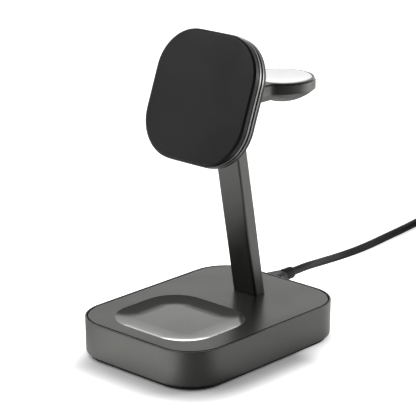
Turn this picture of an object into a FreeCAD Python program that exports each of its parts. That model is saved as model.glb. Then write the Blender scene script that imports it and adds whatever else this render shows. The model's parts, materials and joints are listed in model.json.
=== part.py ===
import FreeCAD, Part
import math
import os
from types import SimpleNamespace

import Sketcher

# Wireless charging stand: a weighted base with an earbud tray, a leaning stem, a tilting phone
# head in front of it, a watch arm behind it, and the lead that feeds it.
# The frame: +Z up, the front of the stand towards -Y, the origin on the table under the base's middle.

# The driving sizes, in millimetres and degrees: alias, number, what it measures.
SIZES = (
    ("base_width", "79.9", "base, side to side"),
    ("base_depth", "107.3", "base, front to back"),
    ("base_top", "18.6", "table to the top of the base"),
    ("base_round", "19.7", "base corner radius in plan"),
    ("foot_height", "1.5", "rubber foot, table to housing"),
    ("foot_inset", "2.2", "foot edge in from the base outline"),
    ("lower_round", "1.2", "rounding of the housing's lower edge"),
    ("wall_draft_angle", "1", "housing wall, degrees drawn in towards the table"),
    ("rim_round", "0.25", "rounding of the base's and the tray's upper edges"),
    ("housing_wall", "3.4", "housing wall"),
    ("rim_wall", "0.8", "housing rim around the top cover"),
    ("lower_lip", "2.4", "housing lip around the bottom plate"),
    ("cover_gap", "0.8", "groove between cover and rim"),
    ("cover_thick", "2.0", "top cover"),
    ("plate_thick", "1.5", "bottom plate"),
    ("plate_gap", "0.15", "clearance around the bottom plate"),
    ("tray_width", "55.4", "earbud tray, side to side at its rim"),
    ("tray_length", "49.4", "earbud tray, front to back at its rim"),
    ("tray_round", "17", "tray corner radius at its rim"),
    ("tray_back", "20", "tray centre in front of the base's middle"),
    ("tray_depth", "1.1", "tray floor below the cover's face"),
    ("tray_wall_angle", "79", "tray wall, degrees from upright"),
    ("tray_blend", "57", "rounding between the tray's wall and its floor"),
    ("pan_margin", "1.2", "pan under the tray, beyond the tray's rim"),
    ("boss_inset", "10.9", "screw boss in from the base's sides"),
    ("boss_diameter", "6", "screw boss"),
    ("screw_diameter", "2.5", "housing screw shank"),
    ("screw_head", "4.4", "housing screw head"),
    ("screw_head_depth", "0.8", "housing screw head, thickness"),
    ("screw_length", "9", "housing screw under its head"),
    ("screw_gap", "0.1", "clearance around a screw in its hole"),
    ("ballast_side", "8.6", "ballast plate in from the base's sides"),
    ("ballast_end", "15", "ballast plate in from the base's front and back"),
    ("ballast_thick", "1.8", "ballast plate"),
    ("ballast_round", "8", "ballast corner radius"),
    ("socket_inset", "19.45", "socket axis in from the base's side"),
    ("socket_z", "9", "socket axis above the table"),
    ("socket_width", "8.94", "socket shell, outside width"),
    ("socket_height", "3.26", "socket shell, outside height"),
    ("socket_wall", "0.28", "socket shell sheet"),
    ("socket_length", "7.4", "socket shell"),
    ("socket_recess", "1.3", "socket mouth behind the housing's back"),
    ("socket_gap", "0.4", "opening around the socket shell"),
    ("tongue_width", "6.7", "contact tongue"),
    ("tongue_thick", "0.7", "contact tongue"),
    ("tongue_length", "4.6", "contact tongue"),
    ("board_side", "14.4", "main board in from the base's sides"),
    ("board_front", "17.5", "main board in from the base's front"),
    ("board_back", "4.9", "main board in from the base's back"),
    ("board_thick", "1.6", "main board"),
    ("board_window", "0.6", "gap around the stem foot in the board"),
    ("spacer_inset", "4.2", "board spacer in from the board's sides"),
    ("spacer_front", "5", "front board spacer in from the board's front"),
    ("spacer_back", "15.6", "back board spacer in from the board's back"),
    ("spacer_diameter", "5", "board spacer"),
    ("board_screw", "2", "board screw shank"),
    ("board_screw_head", "3.8", "board screw head"),
    ("board_screw_head_depth", "1.2", "board screw head, thickness"),
    ("board_screw_bite", "1.6", "board screw into the ballast"),
    ("chip_side", "8", "controller chip"),
    ("chip_thick", "1", "controller chip"),
    ("inductor_side", "6.6", "power inductor"),
    ("inductor_height", "3", "power inductor"),
    ("capacitor_diameter", "5", "capacitor can"),
    ("capacitor_height", "4.2", "capacitor can"),
    ("part_pitch", "9", "spacing of the parts along the board"),
    ("tray_coil_outer", "40", "earbud coil, outside"),
    ("tray_coil_inner", "20", "earbud coil, inside"),
    ("coil_thick", "1.1", "charging coil winding"),
    ("ferrite_thick", "0.6", "ferrite sheet"),
    ("ferrite_margin", "1.5", "ferrite sheet beyond its coil"),
    ("stem_width", "14.4", "stem, side to side"),
    ("stem_thick", "7.04", "stem, across its leaning faces"),
    ("stem_front", "24.4", "stem's front face behind the middle, at the cover"),
    ("stem_tilt", "10.5", "stem, degrees from upright, towards the front"),
    ("stem_round", "1.1", "stem corner radius"),
    ("stem_wall", "1.8", "stem wall"),
    ("stem_gap", "0.2", "clearance around the stem"),
    ("stem_foot_width", "26", "stem foot, side to side"),
    ("stem_foot_depth", "18", "stem foot, front to back"),
    ("grub_diameter", "3", "set screw"),
    ("grub_spacing", "7", "spacing of the set screws"),
    ("foot_screw_diameter", "3", "stem foot screw shank"),
    ("foot_screw_spacing", "20", "spacing of the stem foot screws"),
    ("foot_screw_bite", "7", "stem foot screw into the foot"),
    ("foot_screw_head", "5.4", "stem foot screw head"),
    ("foot_screw_head_depth", "1", "stem foot screw head, thickness"),
    ("harness_diameter", "2.4", "wire bundle in the stem"),
    ("harness_offset", "3", "wire bundle beside the stem's middle"),
    ("arm_top", "120.3", "table to the top of the watch arm"),
    ("arm_wall", "5", "upright side of the watch arm"),
    ("arm_belly", "4.6", "sloping underside of the arm's neck"),
    ("belly_angle", "50", "neck's underside, degrees from upright"),
    ("arm_width", "14.4", "neck of the watch arm"),
    ("dome_depth", "6.6", "round underside of the arm's end"),
    ("arm_blend", "3", "radius where the neck meets the round end"),
    ("arm_chamfer", "0.7", "chamfer along the arm's upper edge"),
    ("puck_y", "49.8", "round end of the arm behind the middle"),
    ("puck_diameter", "32.4", "round end of the arm"),
    ("spigot_width", "5.4", "arm spigot in the stem"),
    ("spigot_offset", "2.3", "arm spigot beside the stem's middle"),
    ("spigot_length", "9", "arm spigot below the arm"),
    ("cap_diameter", "28.4", "white watch cap"),
    ("cap_thick", "2.6", "white watch cap"),
    ("cap_proud", "0.2", "cap above the arm's rim"),
    ("cap_gap", "0.15", "clearance around the cap"),
    ("cap_dish", "0.6", "hollow of the cap's face"),
    ("cap_lip", "1.4", "flat ring around the cap's face"),
    ("watch_coil_outer", "24", "watch coil, outside"),
    ("watch_coil_inner", "10", "watch coil, inside"),
    ("watch_magnet", "8.4", "watch magnet"),
    ("hinge_pin", "3", "hinge pin"),
    ("pin_gap", "0.05", "running clearance on the hinge pin"),
    ("pin_seat", "0.01", "clearance of the pin in the arm's cheeks"),
    ("lug_width", "7.2", "hinge lug, side to side"),
    ("lug_round", "2.3", "hinge lug radius"),
    ("lug_slot", "8", "slot between the arm's cheeks"),
    ("washer_thick", "0.3", "friction washer"),
    ("washer_diameter", "4.4", "friction washer"),
    ("hinge_gap", "3.4", "hinge axis behind the head's back"),
    ("head_width", "59.6", "phone head, side to side"),
    ("head_height", "60.4", "phone head, along its face"),
    ("head_round", "20.4", "head corner radius"),
    ("head_tilt", "20.6", "head face, degrees from upright"),
    ("head_y", "7.2", "centre of the head's face in front of the middle"),
    ("head_z", "121", "centre of the head's face above the table"),
    ("pad_depth", "3.0", "front cover of the head, at its side"),
    ("pad_skin", "1.6", "front cover of the head, at its face"),
    ("pad_edge", "1.1", "rounding of the front cover's edge"),
    ("seam", "0.2", "seam behind the front cover"),
    ("fin_front", "1.2", "front fin of the head frame"),
    ("fin_groove", "1.0", "groove between the fins"),
    ("fin_back", "1.0", "back fin of the head frame"),
    ("fin_proud", "0.2", "fins beyond the front cover"),
    ("groove_depth", "1.2", "depth of the groove"),
    ("fin_chamfer", "0.15", "chamfer of the fins' edges"),
    ("frame_wall", "2.3", "head frame, outline to opening"),
    ("back_thick", "1.9", "head back cover"),
    ("back_edge", "0.7", "rounding of the back cover's edge"),
    ("lip_wall", "0.8", "locating lip of a head cover"),
    ("lip_length", "1.0", "locating lip of the head's back cover"),
    ("lip_gap", "0.1", "clearance around a locating lip"),
    ("magnet_margin", "3.4", "magnet ring in from the head's side"),
    ("magnet_band", "3.7", "magnet ring, outside to inside"),
    ("magnet_thick", "1.2", "magnet ring"),
    ("magnet_split_angle", "1.5", "gap between magnets, degrees"),
    ("phone_coil_gap", "1.1", "phone coil inside the magnet ring"),
    ("phone_coil_band", "12", "phone coil, outside to inside"),
    ("head_board_width", "30", "head board, side to side"),
    ("head_board_height", "24", "head board, along the head"),
    ("head_board_thick", "0.8", "head board"),
    ("flange_width", "22", "hinge lug flange, side to side"),
    ("flange_height", "13", "hinge lug flange, along the head"),
    ("flange_thick", "1.0", "hinge lug flange"),
    ("lug_screw_x", "8", "lug screw from the middle, sideways"),
    ("lug_screw_z", "4", "lug screw from the middle, along the head"),
    ("lug_screw", "1.6", "lug screw shank"),
    ("lug_screw_head", "2.8", "lug screw head"),
    ("lug_screw_head_depth", "0.5", "lug screw head, thickness"),
    ("lug_screw_bite", "1.0", "lug screw into the back cover"),
    ("plug_gap", "0.4", "plug body behind the housing"),
    ("plug_width", "10.8", "plug body"),
    ("plug_height", "6", "plug body"),
    ("plug_round", "2.4", "plug body edge radius"),
    ("plug_straight", "13", "straight length of the plug body"),
    ("plug_taper_length", "9", "tapering length of the plug body"),
    ("plug_end_width", "7.2", "plug body at the cable's end"),
    ("plug_end_height", "5", "plug body at the cable's end"),
    ("plug_end_round", "2", "plug body edge radius at the cable's end"),
    ("contact_width", "8.25", "plug contact shell, outside width"),
    ("contact_height", "2.4", "plug contact shell, outside height"),
    ("contact_length", "6.5", "plug contact shell"),
    ("contact_wall", "0.26", "plug contact shell sheet"),
    ("collar_diameter", "6.2", "cable collar"),
    ("collar_length", "7.3", "cable collar"),
    ("collar_edge", "0.9", "rounding of the collar's ends"),
    ("cable_diameter", "4.2", "cable"),
    ("coil_radius", "20.5", "middle of the coil's turns"),
    ("coil_pitch", "4.3", "spacing of the coil's turns"),
    ("coil_turns_across", "3", "turns side by side in the coil"),
    ("coil_edge", "1.6", "rounding of the coil's edges"),
    ("tie_thick", "0.6", "strap round the coil"),
    ("tie_width", "6", "strap round the coil"),
    ("tie_slack", "0.4", "slack of the strap beside the coil"),
)

MAGNETS = 16
EASE = 0.02
QUARTER_TURN = 90
WHOLE_TURN = 360
# The share of the shorter of two runs that the arc between them takes up.
ARC_SHARE = 0.45
UP = FreeCAD.Vector(0, 0, 1)
SIDEWAYS = FreeCAD.Vector(1, 0, 0)

# The cable from its collar, down to the table and away to its coil, and from the coil to the far plug.
CABLE_ROUTE = (
    (-20.5, 83.35, 9.0),
    (-21.3, 95.0, 8.75),
    (-22.9, 105.1, 7.5),
    (-25.0, 117.0, 5.8),
    (-27.0, 130.1, 4.2),
    (-28.7, 144.9, 3.0),
    (-30.6, 161.0, 2.35),
    (-32.8, 178.0, 2.1),
    (-34.2, 193.4, 2.1),
    (-36.2, 209.3, 2.1),
    (-38.0, 224.0, 2.2),
    (-38.7, 237.0, 2.7),
)
COIL_MIDDLE = (-14.0, 239.2)
TAIL_ROUTE = (
    (10.8, 239.2, 7.0),
    (10.7, 229.6, 6.1),
    (11.0, 219.4, 4.3),
    (10.8, 210.0, 3.1),
)
FAR_PLUG_X = 10.8


class Measure:
    """A size that keeps both its number and the expression that ties it to the sheet."""

    def __init__(self, text, number):
        self.text = text
        self.number = number

    def joined(self, sign, other, number):
        return Measure(f"({self.text} {sign} {as_measure(other).text})", number)

    def __add__(self, other):
        return self.joined("+", other, self.number + as_measure(other).number)

    def __sub__(self, other):
        return self.joined("-", other, self.number - as_measure(other).number)

    def __mul__(self, other):
        return self.joined("*", other, self.number * as_measure(other).number)

    def __truediv__(self, other):
        return self.joined("/", other, self.number / as_measure(other).number)

    def __neg__(self):
        return Measure(f"(-1 * {self.text})", -self.number)

    __radd__ = __add__
    __rmul__ = __mul__


def as_measure(value):
    """A plain number as a measure that the sheet doesn't drive."""
    return value if isinstance(value, Measure) else Measure(repr(float(value)), float(value))


def sine(angle):
    return Measure(f"sin({angle.text})", math.sin(math.radians(angle.number)))


def cosine(angle):
    return Measure(f"cos({angle.text})", math.cos(math.radians(angle.number)))


def tangent(angle):
    return Measure(f"tan({angle.text})", math.tan(math.radians(angle.number)))


def smaller(first, second):
    return Measure(f"min({first.text}; {second.text})", min(first.number, second.number))


doc = FreeCAD.newDocument("charging_stand")
sheet = doc.addObject("Spreadsheet::Sheet", "Sizes")
for row, (alias, number, note) in enumerate(SIZES, start=1):
    sheet.set(f"A{row}", note)
    sheet.set(f"B{row}", number)
    sheet.setAlias(f"B{row}", alias)
doc.recompute()
s = SimpleNamespace(**{alias: Measure(f"Sizes.{alias}", float(sheet.get(alias))) for alias, _, _ in SIZES})

NONE = as_measure(0)
PARTS = []


# Bodies, sketches and features


def bind(item, place, measure):
    """Tie one property of an object to the sheet."""
    item.setExpression(place, measure.text)


def new_body(label):
    """An empty body that becomes the sub-part of that name."""
    body = doc.addObject("PartDesign::Body", label)
    body.Label = label
    PARTS.append(body)
    return body


def sketch_on(body, role, x=NONE, y=NONE, z=NONE, lean=None):
    """A sketch on one of the body's own planes, moved along the plane (x, y) and off it (z)."""
    plane = next(item for item in body.Origin.OriginFeatures if item.Role == role)
    sketch = body.newObject("Sketcher::SketchObject", f"{body.Label}_sketch")
    sketch.AttachmentSupport = [(plane, "")]
    sketch.MapMode = "FlatFace"
    turn = FreeCAD.Rotation(SIDEWAYS, lean.number if lean else 0)
    sketch.AttachmentOffset = FreeCAD.Placement(FreeCAD.Vector(x.number, y.number, z.number), turn)
    for axis, measure in zip("xyz", (x, y, z)):
        bind(sketch, f"AttachmentOffset.Base.{axis}", measure)
    if lean:
        bind(sketch, "AttachmentOffset.Rotation.Angle", lean)
    return sketch


def flat(body, z, x=NONE, y=NONE):
    """A level sketch at a height above the table."""
    return sketch_on(body, "XY_Plane", x, y, z)


def facing(body, depth, x=NONE, z=NONE):
    """An upright sketch that faces the front, at a distance behind the body's own origin."""
    return sketch_on(body, "XZ_Plane", x, z, -depth)


def sideways(body, x, y=NONE, z=NONE):
    """An upright sketch that faces the right-hand side."""
    return sketch_on(body, "YZ_Plane", y, z, x)


def across_stem(body, rise=NONE, x=NONE):
    """A sketch square to the leaning stem, centred on it, a distance along it from the base's top."""
    y = stem_middle - rise * sine(s.stem_tilt)
    z = s.base_top + rise * cosine(s.stem_tilt)
    return sketch_on(body, "XY_Plane", x, y, z, s.stem_tilt)


def constrain(sketch, kind, *where):
    """A geometric constraint, or one whose last argument is a measure that drives it."""
    if isinstance(where[-1], Measure):
        size = where[-1]
        index = sketch.addConstraint(Sketcher.Constraint(kind, *where[:-1], size.number))
        bind(sketch, f"Constraints[{index}]", size)
    else:
        sketch.addConstraint(Sketcher.Constraint(kind, *where))


def rounded_rect(sketch, width, height, radius):
    """A centred rectangle with round corners."""
    a, b, r = width.number / 2, height.number / 2, radius.number
    first = sketch.GeometryCount
    ends = (
        ((r - a, -b), (a - r, -b)),
        ((a, r - b), (a, b - r)),
        ((a - r, b), (r - a, b)),
        ((-a, b - r), (-a, r - b)),
    )
    for start, end in ends:
        sketch.addGeometry(Part.LineSegment(FreeCAD.Vector(*start, 0), FreeCAD.Vector(*end, 0)))
    for turn, (cx, cy) in enumerate(((a - r, r - b), (a - r, b - r), (r - a, b - r), (r - a, r - b))):
        circle = Part.Circle(FreeCAD.Vector(cx, cy, 0), UP, r)
        start = math.radians(QUARTER_TURN * (turn - 1))
        sketch.addGeometry(Part.ArcOfCircle(circle, start, start + math.pi / 2))
    for side in range(4):
        line, arc = first + side, first + 4 + side
        constrain(sketch, "Tangent", line, 2, arc, 1)
        constrain(sketch, "Tangent", arc, 2, first + (side + 1) % 4, 1)
        constrain(sketch, "Vertical" if side % 2 else "Horizontal", line)
        if side:
            constrain(sketch, "Equal", first + 4, arc)
    constrain(sketch, "Symmetric", first + 4, 3, first + 6, 3, -1, 1)
    constrain(sketch, "DistanceX", first + 3, 1, first + 1, 1, width)
    constrain(sketch, "DistanceY", first, 1, first + 2, 1, height)
    constrain(sketch, "Radius", first + 4, radius)
    return sketch


def place_point(sketch, item, end, x, y):
    """Hold one point of a sketch at (x, y) from the sketch's origin."""
    for kind, measure, axis in (("DistanceX", x, -2), ("DistanceY", y, -1)):
        if measure.number == 0:
            constrain(sketch, "PointOnObject", item, end, axis)
        elif measure.number > 0:
            constrain(sketch, kind, -1, 1, item, end, measure)
        else:
            constrain(sketch, kind, item, end, -1, 1, -measure)


def circles(sketch, diameter, centres=((NONE, NONE),)):
    """Equal circles at the given centres."""
    for x, y in centres:
        middle = FreeCAD.Vector(x.number, y.number, 0)
        index = sketch.addGeometry(Part.Circle(middle, UP, diameter.number / 2))
        place_point(sketch, index, 3, x, y)
        constrain(sketch, "Diameter", index, diameter)
    return sketch


def polygon(sketch, points):
    """A closed outline of straight lines through the given points."""
    corners = [FreeCAD.Vector(x.number, y.number, 0) for x, y in points]
    count = len(points)
    for index in range(count):
        sketch.addGeometry(Part.LineSegment(corners[index], corners[(index + 1) % count]))
    for index, (x, y) in enumerate(points):
        constrain(sketch, "Coincident", (index - 1) % count, 2, index, 1)
        place_point(sketch, index, 1, x, y)
    return sketch


def half_section(sketch, points, sag):
    """Half of a turned shape: lines from the axis through the points, then an arc that sags to the axis."""
    corners = [FreeCAD.Vector(x.number, y.number, 0) for x, y in points]
    reach, level = points[-1]
    radius = (reach.number**2 + sag.number**2) / (2 * sag.number)
    low = level.number - sag.number
    for start, end in zip(corners, corners[1:]):
        sketch.addGeometry(Part.LineSegment(start, end))
    circle = Part.Circle(FreeCAD.Vector(0, low + radius, 0), UP, radius)
    rim = math.atan2(sag.number - radius, reach.number)
    arc = sketch.addGeometry(Part.ArcOfCircle(circle, -math.pi / 2, rim))
    axis = sketch.addGeometry(Part.LineSegment(FreeCAD.Vector(0, low, 0), corners[0]))
    last = len(points) - 2
    for index, (x, y) in enumerate(points[:-1]):
        place_point(sketch, index, 1, x, y)
        if index:
            constrain(sketch, "Coincident", index - 1, 2, index, 1)
    place_point(sketch, last, 2, reach, level)
    constrain(sketch, "Coincident", last, 2, arc, 2)
    constrain(sketch, "Coincident", arc, 1, axis, 1)
    constrain(sketch, "Coincident", axis, 2, 0, 1)
    constrain(sketch, "PointOnObject", arc, 3, -2)
    place_point(sketch, arc, 1, NONE, level - sag)
    return sketch


def turn_solid(body, sketch):
    """Turn a half section about its upright axis."""
    feature = body.newObject("PartDesign::Revolution", f"{body.Label}_turned")
    feature.Profile = sketch
    feature.ReferenceAxis = (sketch, ["V_Axis"])
    feature.Angle = WHOLE_TURN
    body.Tip = feature
    return feature


def pad(body, sketch, length, away=True, taper=None):
    """Raise a sketch into a solid, along its normal or against it; a taper draws the sides in."""
    feature = body.newObject("PartDesign::Pad", f"{body.Label}_pad")
    feature.Profile = sketch
    feature.Reversed = not away
    bind(feature, "Length", length)
    if taper:
        bind(feature, "TaperAngle", -taper)
    body.Tip = feature
    return feature


def pocket(body, sketch, length=None, away=False, taper=None):
    """Cut a sketch out of the body, against its normal unless told otherwise, or right through."""
    doc.recompute()
    before = body.Shape.Volume
    feature = body.newObject("PartDesign::Pocket", f"{body.Label}_pocket")
    feature.Profile = sketch
    feature.Reversed = away
    if length:
        bind(feature, "Length", length)
    else:
        feature.Type = "ThroughAll"
    if taper:
        bind(feature, "TaperAngle", -taper)
    body.Tip = feature
    doc.recompute()
    if not body.Shape.Volume < before:
        raise ValueError(f"{body.Label}: {feature.Name} cuts nothing")
    return feature


def dress(body, kind, size_name, size, pick):
    """Round or chamfer the edges of the body that the pick function chooses."""
    doc.recompute()
    base = body.Tip
    names = [f"Edge{i}" for i, edge in enumerate(base.Shape.Edges, start=1) if pick(edge)]
    feature = body.newObject(f"PartDesign::{kind}", f"{body.Label}_{kind.lower()}")
    feature.Base = (base, names)
    bind(feature, size_name, size)
    body.Tip = feature
    return feature


def fillet(body, radius, pick):
    return dress(body, "Fillet", "Radius", radius, pick)


def chamfer(body, size, pick):
    return dress(body, "Chamfer", "Size", size, pick)


def level_at(axis, value, *more):
    """A pick function for edges that lie wholly at a value of one axis, or at one of several."""
    places = [measure.number for measure in (value, *more)]

    def pick(edge):
        box = edge.BoundBox
        low, high = getattr(box, f"{axis}Min"), getattr(box, f"{axis}Max")
        return any(abs(low - place) < EASE and abs(high - place) < EASE for place in places)

    return pick


def primitive(kind, name, sizes, base=(NONE, NONE, NONE), axis=None, degrees=0):
    """A primitive whose sizes and place are tied to the sheet; axis and degrees turn it first."""
    item = doc.addObject(f"Part::{kind}", name)
    turn = FreeCAD.Rotation(axis or UP, degrees)
    item.Placement = FreeCAD.Placement(FreeCAD.Vector(*(part.number for part in base)), turn)
    for key, measure in sizes.items():
        bind(item, key, measure)
    for key, measure in zip("xyz", base):
        bind(item, f"Placement.Base.{key}", measure)
    return item


def box(name, width, depth, height, middle_x, middle_y, bottom):
    """A block given by its size, the middle of its footprint and its bottom."""
    sizes = {"Length": width, "Width": depth, "Height": height}
    return primitive("Box", name, sizes, (middle_x - width / 2, middle_y - depth / 2, bottom))


def cylinder(name, diameter, height, x, y, z, axis=None, degrees=0):
    """A cylinder on the middle of its first end."""
    sizes = {"Radius": diameter / 2, "Height": height}
    return primitive("Cylinder", name, sizes, (x, y, z), axis, degrees)


def combine(kind, label, first, second, keep=True):
    """A cut or a fuse of two objects; the result is a sub-part unless it is a step on the way."""
    item = doc.addObject(f"Part::{kind}", label)
    item.Label = label
    item.Base = first
    item.Tool = second
    if keep:
        PARTS.append(item)
    return item


def group(label, items):
    """Identical pieces as one sub-part of separate solids."""
    item = doc.addObject("Part::Compound", label)
    item.Label = label
    item.Links = items
    PARTS.append(item)
    return item


def keep(item, label):
    """Make a single primitive a sub-part."""
    item.Label = label
    PARTS.append(item)
    return item


def four(x, y):
    """The four points at plus and minus x and y."""
    return [(x, y), (-x, y), (-x, -y), (x, -y)]


# Heights and places that several pieces share

base_side = s.base_width / 2
base_back = s.base_depth / 2
cover_bottom = s.base_top - s.cover_thick
plate_top = s.foot_height + s.plate_thick
ballast_top = plate_top + s.ballast_thick
tray_y = -s.tray_back
pan_bottom = cover_bottom - s.tray_depth
board_top = s.socket_z - s.socket_height / 2
board_bottom = board_top - s.board_thick
board_side = base_side - s.board_side
board_front = base_back - s.board_front
board_back = base_back - s.board_back
boss_x = base_side - s.boss_inset
boss_y = base_back - s.boss_inset
socket_x = base_side - s.socket_inset
socket_mouth = base_back - s.socket_recess
socket_inner_end = socket_mouth - s.socket_length

stem_middle = s.stem_front + s.stem_thick / (2 * cosine(s.stem_tilt))
stem_half = s.stem_thick / (2 * cosine(s.stem_tilt))
stem_bore = s.stem_thick - 2 * s.stem_wall
belly_top = s.arm_top - s.arm_wall
belly_bottom = belly_top - s.arm_belly
foot_middle = stem_middle + (s.base_top - ballast_top) / 2 * tangent(s.stem_tilt)

head_span = smaller(s.head_width, s.head_height)
frame_front = s.pad_depth + s.seam
groove_front = frame_front + s.fin_front
groove_back = groove_front + s.fin_groove
frame_back = groove_back + s.fin_back
head_depth = frame_back + s.back_thick

hinge_z = s.arm_top - s.arm_wall / 2
back_y = head_depth * cosine(s.head_tilt) - s.head_y
back_z = s.head_z - head_depth * sine(s.head_tilt)
hinge_y = back_y + (s.hinge_gap + (hinge_z - back_z) * sine(s.head_tilt)) / cosine(s.head_tilt)
hinge_depth = head_depth + s.hinge_gap
hinge_rise = (hinge_y + s.head_y) * sine(s.head_tilt) + (hinge_z - s.head_z) * cosine(s.head_tilt)


def stem_y_at(z):
    """The middle of the leaning stem at a height."""
    return stem_middle - (z - s.base_top) * tangent(s.stem_tilt)


# The base


def base_outline(sketch, inset):
    """The base's rounded outline, drawn in by a distance."""
    return rounded_rect(sketch, s.base_width - 2 * inset, s.base_depth - 2 * inset, s.base_round - inset)


def make_housing():
    """The metal ring round the base, stepped for its two covers, with two socket openings."""
    body = new_body("base_housing")
    outline = base_outline(flat(body, s.base_top), NONE)
    pad(body, outline, s.base_top - s.foot_height, away=False, taper=s.wall_draft_angle)
    fillet(body, s.lower_round, level_at("Z", s.foot_height))
    fillet(body, s.rim_round, level_at("Z", s.base_top))
    pocket(body, base_outline(flat(body, s.base_top), s.housing_wall))
    pocket(body, base_outline(flat(body, s.base_top), s.rim_wall), s.cover_thick)
    pocket(body, base_outline(flat(body, s.foot_height), s.lower_lip), s.plate_thick, away=True)
    opening_round = s.socket_height / 2
    for side in (-1, 1):
        sketch = facing(body, base_back, side * socket_x, s.socket_z)
        width = s.socket_width + 2 * s.socket_gap
        rounded_rect(sketch, width, s.socket_height + 2 * s.socket_gap, opening_round)
        pocket(body, sketch, s.housing_wall + s.lower_lip, away=True)


def make_cover():
    """The top cover with its dished earbud tray, the stem's slot and four screw bosses."""
    body = new_body("top_cover")
    pad(body, base_outline(flat(body, cover_bottom), s.rim_wall + s.cover_gap), s.cover_thick)
    pan = flat(body, cover_bottom, NONE, tray_y)
    margin = 2 * s.pan_margin
    rounded_rect(pan, s.tray_width + margin, s.tray_length + margin, s.tray_round + s.pan_margin)
    pad(body, pan, s.tray_depth, away=False)
    tray = flat(body, s.base_top, NONE, tray_y)
    rounded_rect(tray, s.tray_width, s.tray_length, s.tray_round)
    pocket(body, tray, s.tray_depth, taper=s.tray_wall_angle)
    fillet(body, s.tray_blend, level_at("Z", s.base_top - s.tray_depth))
    fillet(body, s.rim_round, level_at("Z", s.base_top))
    bosses = circles(flat(body, cover_bottom), s.boss_diameter, four(boss_x, boss_y))
    pad(body, bosses, cover_bottom - plate_top, away=False)
    bores = circles(flat(body, plate_top), s.screw_diameter + 2 * s.screw_gap, four(boss_x, boss_y))
    pocket(body, bores, s.screw_length, away=True)
    slot = across_stem(body, s.stem_thick)
    clear = 2 * s.stem_gap
    rounded_rect(slot, s.stem_width + clear, s.stem_thick + clear, s.stem_round + s.stem_gap)
    pocket(body, slot)


def make_bottom():
    """The bottom plate, counterbored for its screws, and the rubber foot that covers them."""
    plate = new_body("bottom_plate")
    pad(plate, base_outline(flat(plate, s.foot_height), s.lower_lip + s.plate_gap), s.plate_thick)
    holes = four(boss_x, boss_y)
    pocket(plate, circles(flat(plate, plate_top), s.screw_diameter + 2 * s.screw_gap, holes))
    counterbore = circles(flat(plate, s.foot_height), s.screw_head + 2 * s.screw_gap, holes)
    pocket(plate, counterbore, s.screw_head_depth, away=True)
    foot = new_body("foot_pad")
    pad(foot, base_outline(flat(foot, NONE), s.foot_inset), s.foot_height)
    screws = []
    for index, (x, y) in enumerate(holes):
        head = cylinder(f"housing_screw_head_{index}", s.screw_head, s.screw_head_depth, x, y, s.foot_height)
        length = s.screw_head_depth + s.screw_length - s.plate_thick
        shank = cylinder(f"housing_screw_shank_{index}", s.screw_diameter, length, x, y, s.foot_height)
        screws.append(combine("Fuse", f"housing_screw_{index}", head, shank, keep=False))
    group("housing_screws", screws)


def make_ballast():
    """The steel ballast plate, drilled for the board's and the stem foot's screws."""
    body = new_body("ballast_plate")
    width = s.base_width - 2 * s.ballast_side
    depth = s.base_depth - 2 * s.ballast_end
    pad(body, rounded_rect(flat(body, plate_top), width, depth, s.ballast_round), s.ballast_thick)
    pocket(body, circles(flat(body, ballast_top), s.board_screw + 2 * s.screw_gap, spacer_places()))
    foot_holes = foot_screw_places()
    pocket(body, circles(flat(body, ballast_top), s.foot_screw_diameter + 2 * s.screw_gap, foot_holes))
    heads = circles(flat(body, plate_top), s.foot_screw_head + 2 * s.screw_gap, foot_holes)
    pocket(body, heads, s.foot_screw_head_depth, away=True)


def spacer_places():
    """Where the board's four spacers stand."""
    side = board_side - s.spacer_inset
    front, back = s.spacer_front - board_front, board_back - s.spacer_back
    return [(x, y) for x in (side, -side) for y in (front, back)]


def foot_screw_places():
    """Where the two screws hold the stem's foot."""
    half = s.foot_screw_spacing / 2
    return [(half, foot_middle), (-half, foot_middle)]


def make_board():
    """The main board on its spacers, with a window for the stem's foot, and the parts soldered to it."""
    board = new_body("main_board")
    corner = s.board_thick
    outline = flat(board, board_bottom, NONE, (board_back - board_front) / 2)
    rounded_rect(outline, 2 * board_side, board_front + board_back, corner)
    pad(board, outline, s.board_thick)
    window = flat(board, board_top, NONE, foot_middle)
    clear = 2 * s.board_window
    rounded_rect(window, s.stem_foot_width + clear, s.stem_foot_depth + clear, corner)
    pocket(board, window)
    pocket(board, circles(flat(board, board_top), s.board_screw + 2 * s.screw_gap, spacer_places()))

    spacers, screws = [], []
    for index, (x, y) in enumerate(spacer_places()):
        lift = board_bottom - ballast_top
        outer = cylinder(f"spacer_outer_{index}", s.spacer_diameter, lift, x, y, ballast_top)
        bore = cylinder(f"spacer_bore_{index}", s.board_screw + 2 * s.screw_gap, lift, x, y, ballast_top)
        spacers.append(combine("Cut", f"spacer_{index}", outer, bore, keep=False))
        start = ballast_top - s.board_screw_bite
        shank = cylinder(f"board_screw_shank_{index}", s.board_screw, board_top - start, x, y, start)
        sizes = s.board_screw_head, s.board_screw_head_depth
        head = cylinder(f"board_screw_head_{index}", *sizes, x, y, board_top)
        screws.append(combine("Fuse", f"board_screw_{index}", head, shank, keep=False))
    group("board_spacers", spacers)
    group("board_screws", screws)

    chip_y = -s.part_pitch
    chip = box("controller", s.chip_side, s.chip_side, s.chip_thick, NONE, chip_y, board_top)
    keep(chip, "controller_chip")
    sizes = s.inductor_side, s.inductor_side, s.inductor_height
    inductors = [
        box(f"inductor_{index}", *sizes, (index - 1) * s.part_pitch, chip_y - s.part_pitch, board_top)
        for index in range(3)
    ]
    group("power_inductors", inductors)
    sizes = s.capacitor_diameter, s.capacitor_height
    can_y = s.chip_side - chip_y / 3
    cans = [
        cylinder(f"capacitor_{index}", *sizes, (index - 1) * s.part_pitch, can_y, board_top)
        for index in range(3)
    ]
    group("capacitors", cans)


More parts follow.
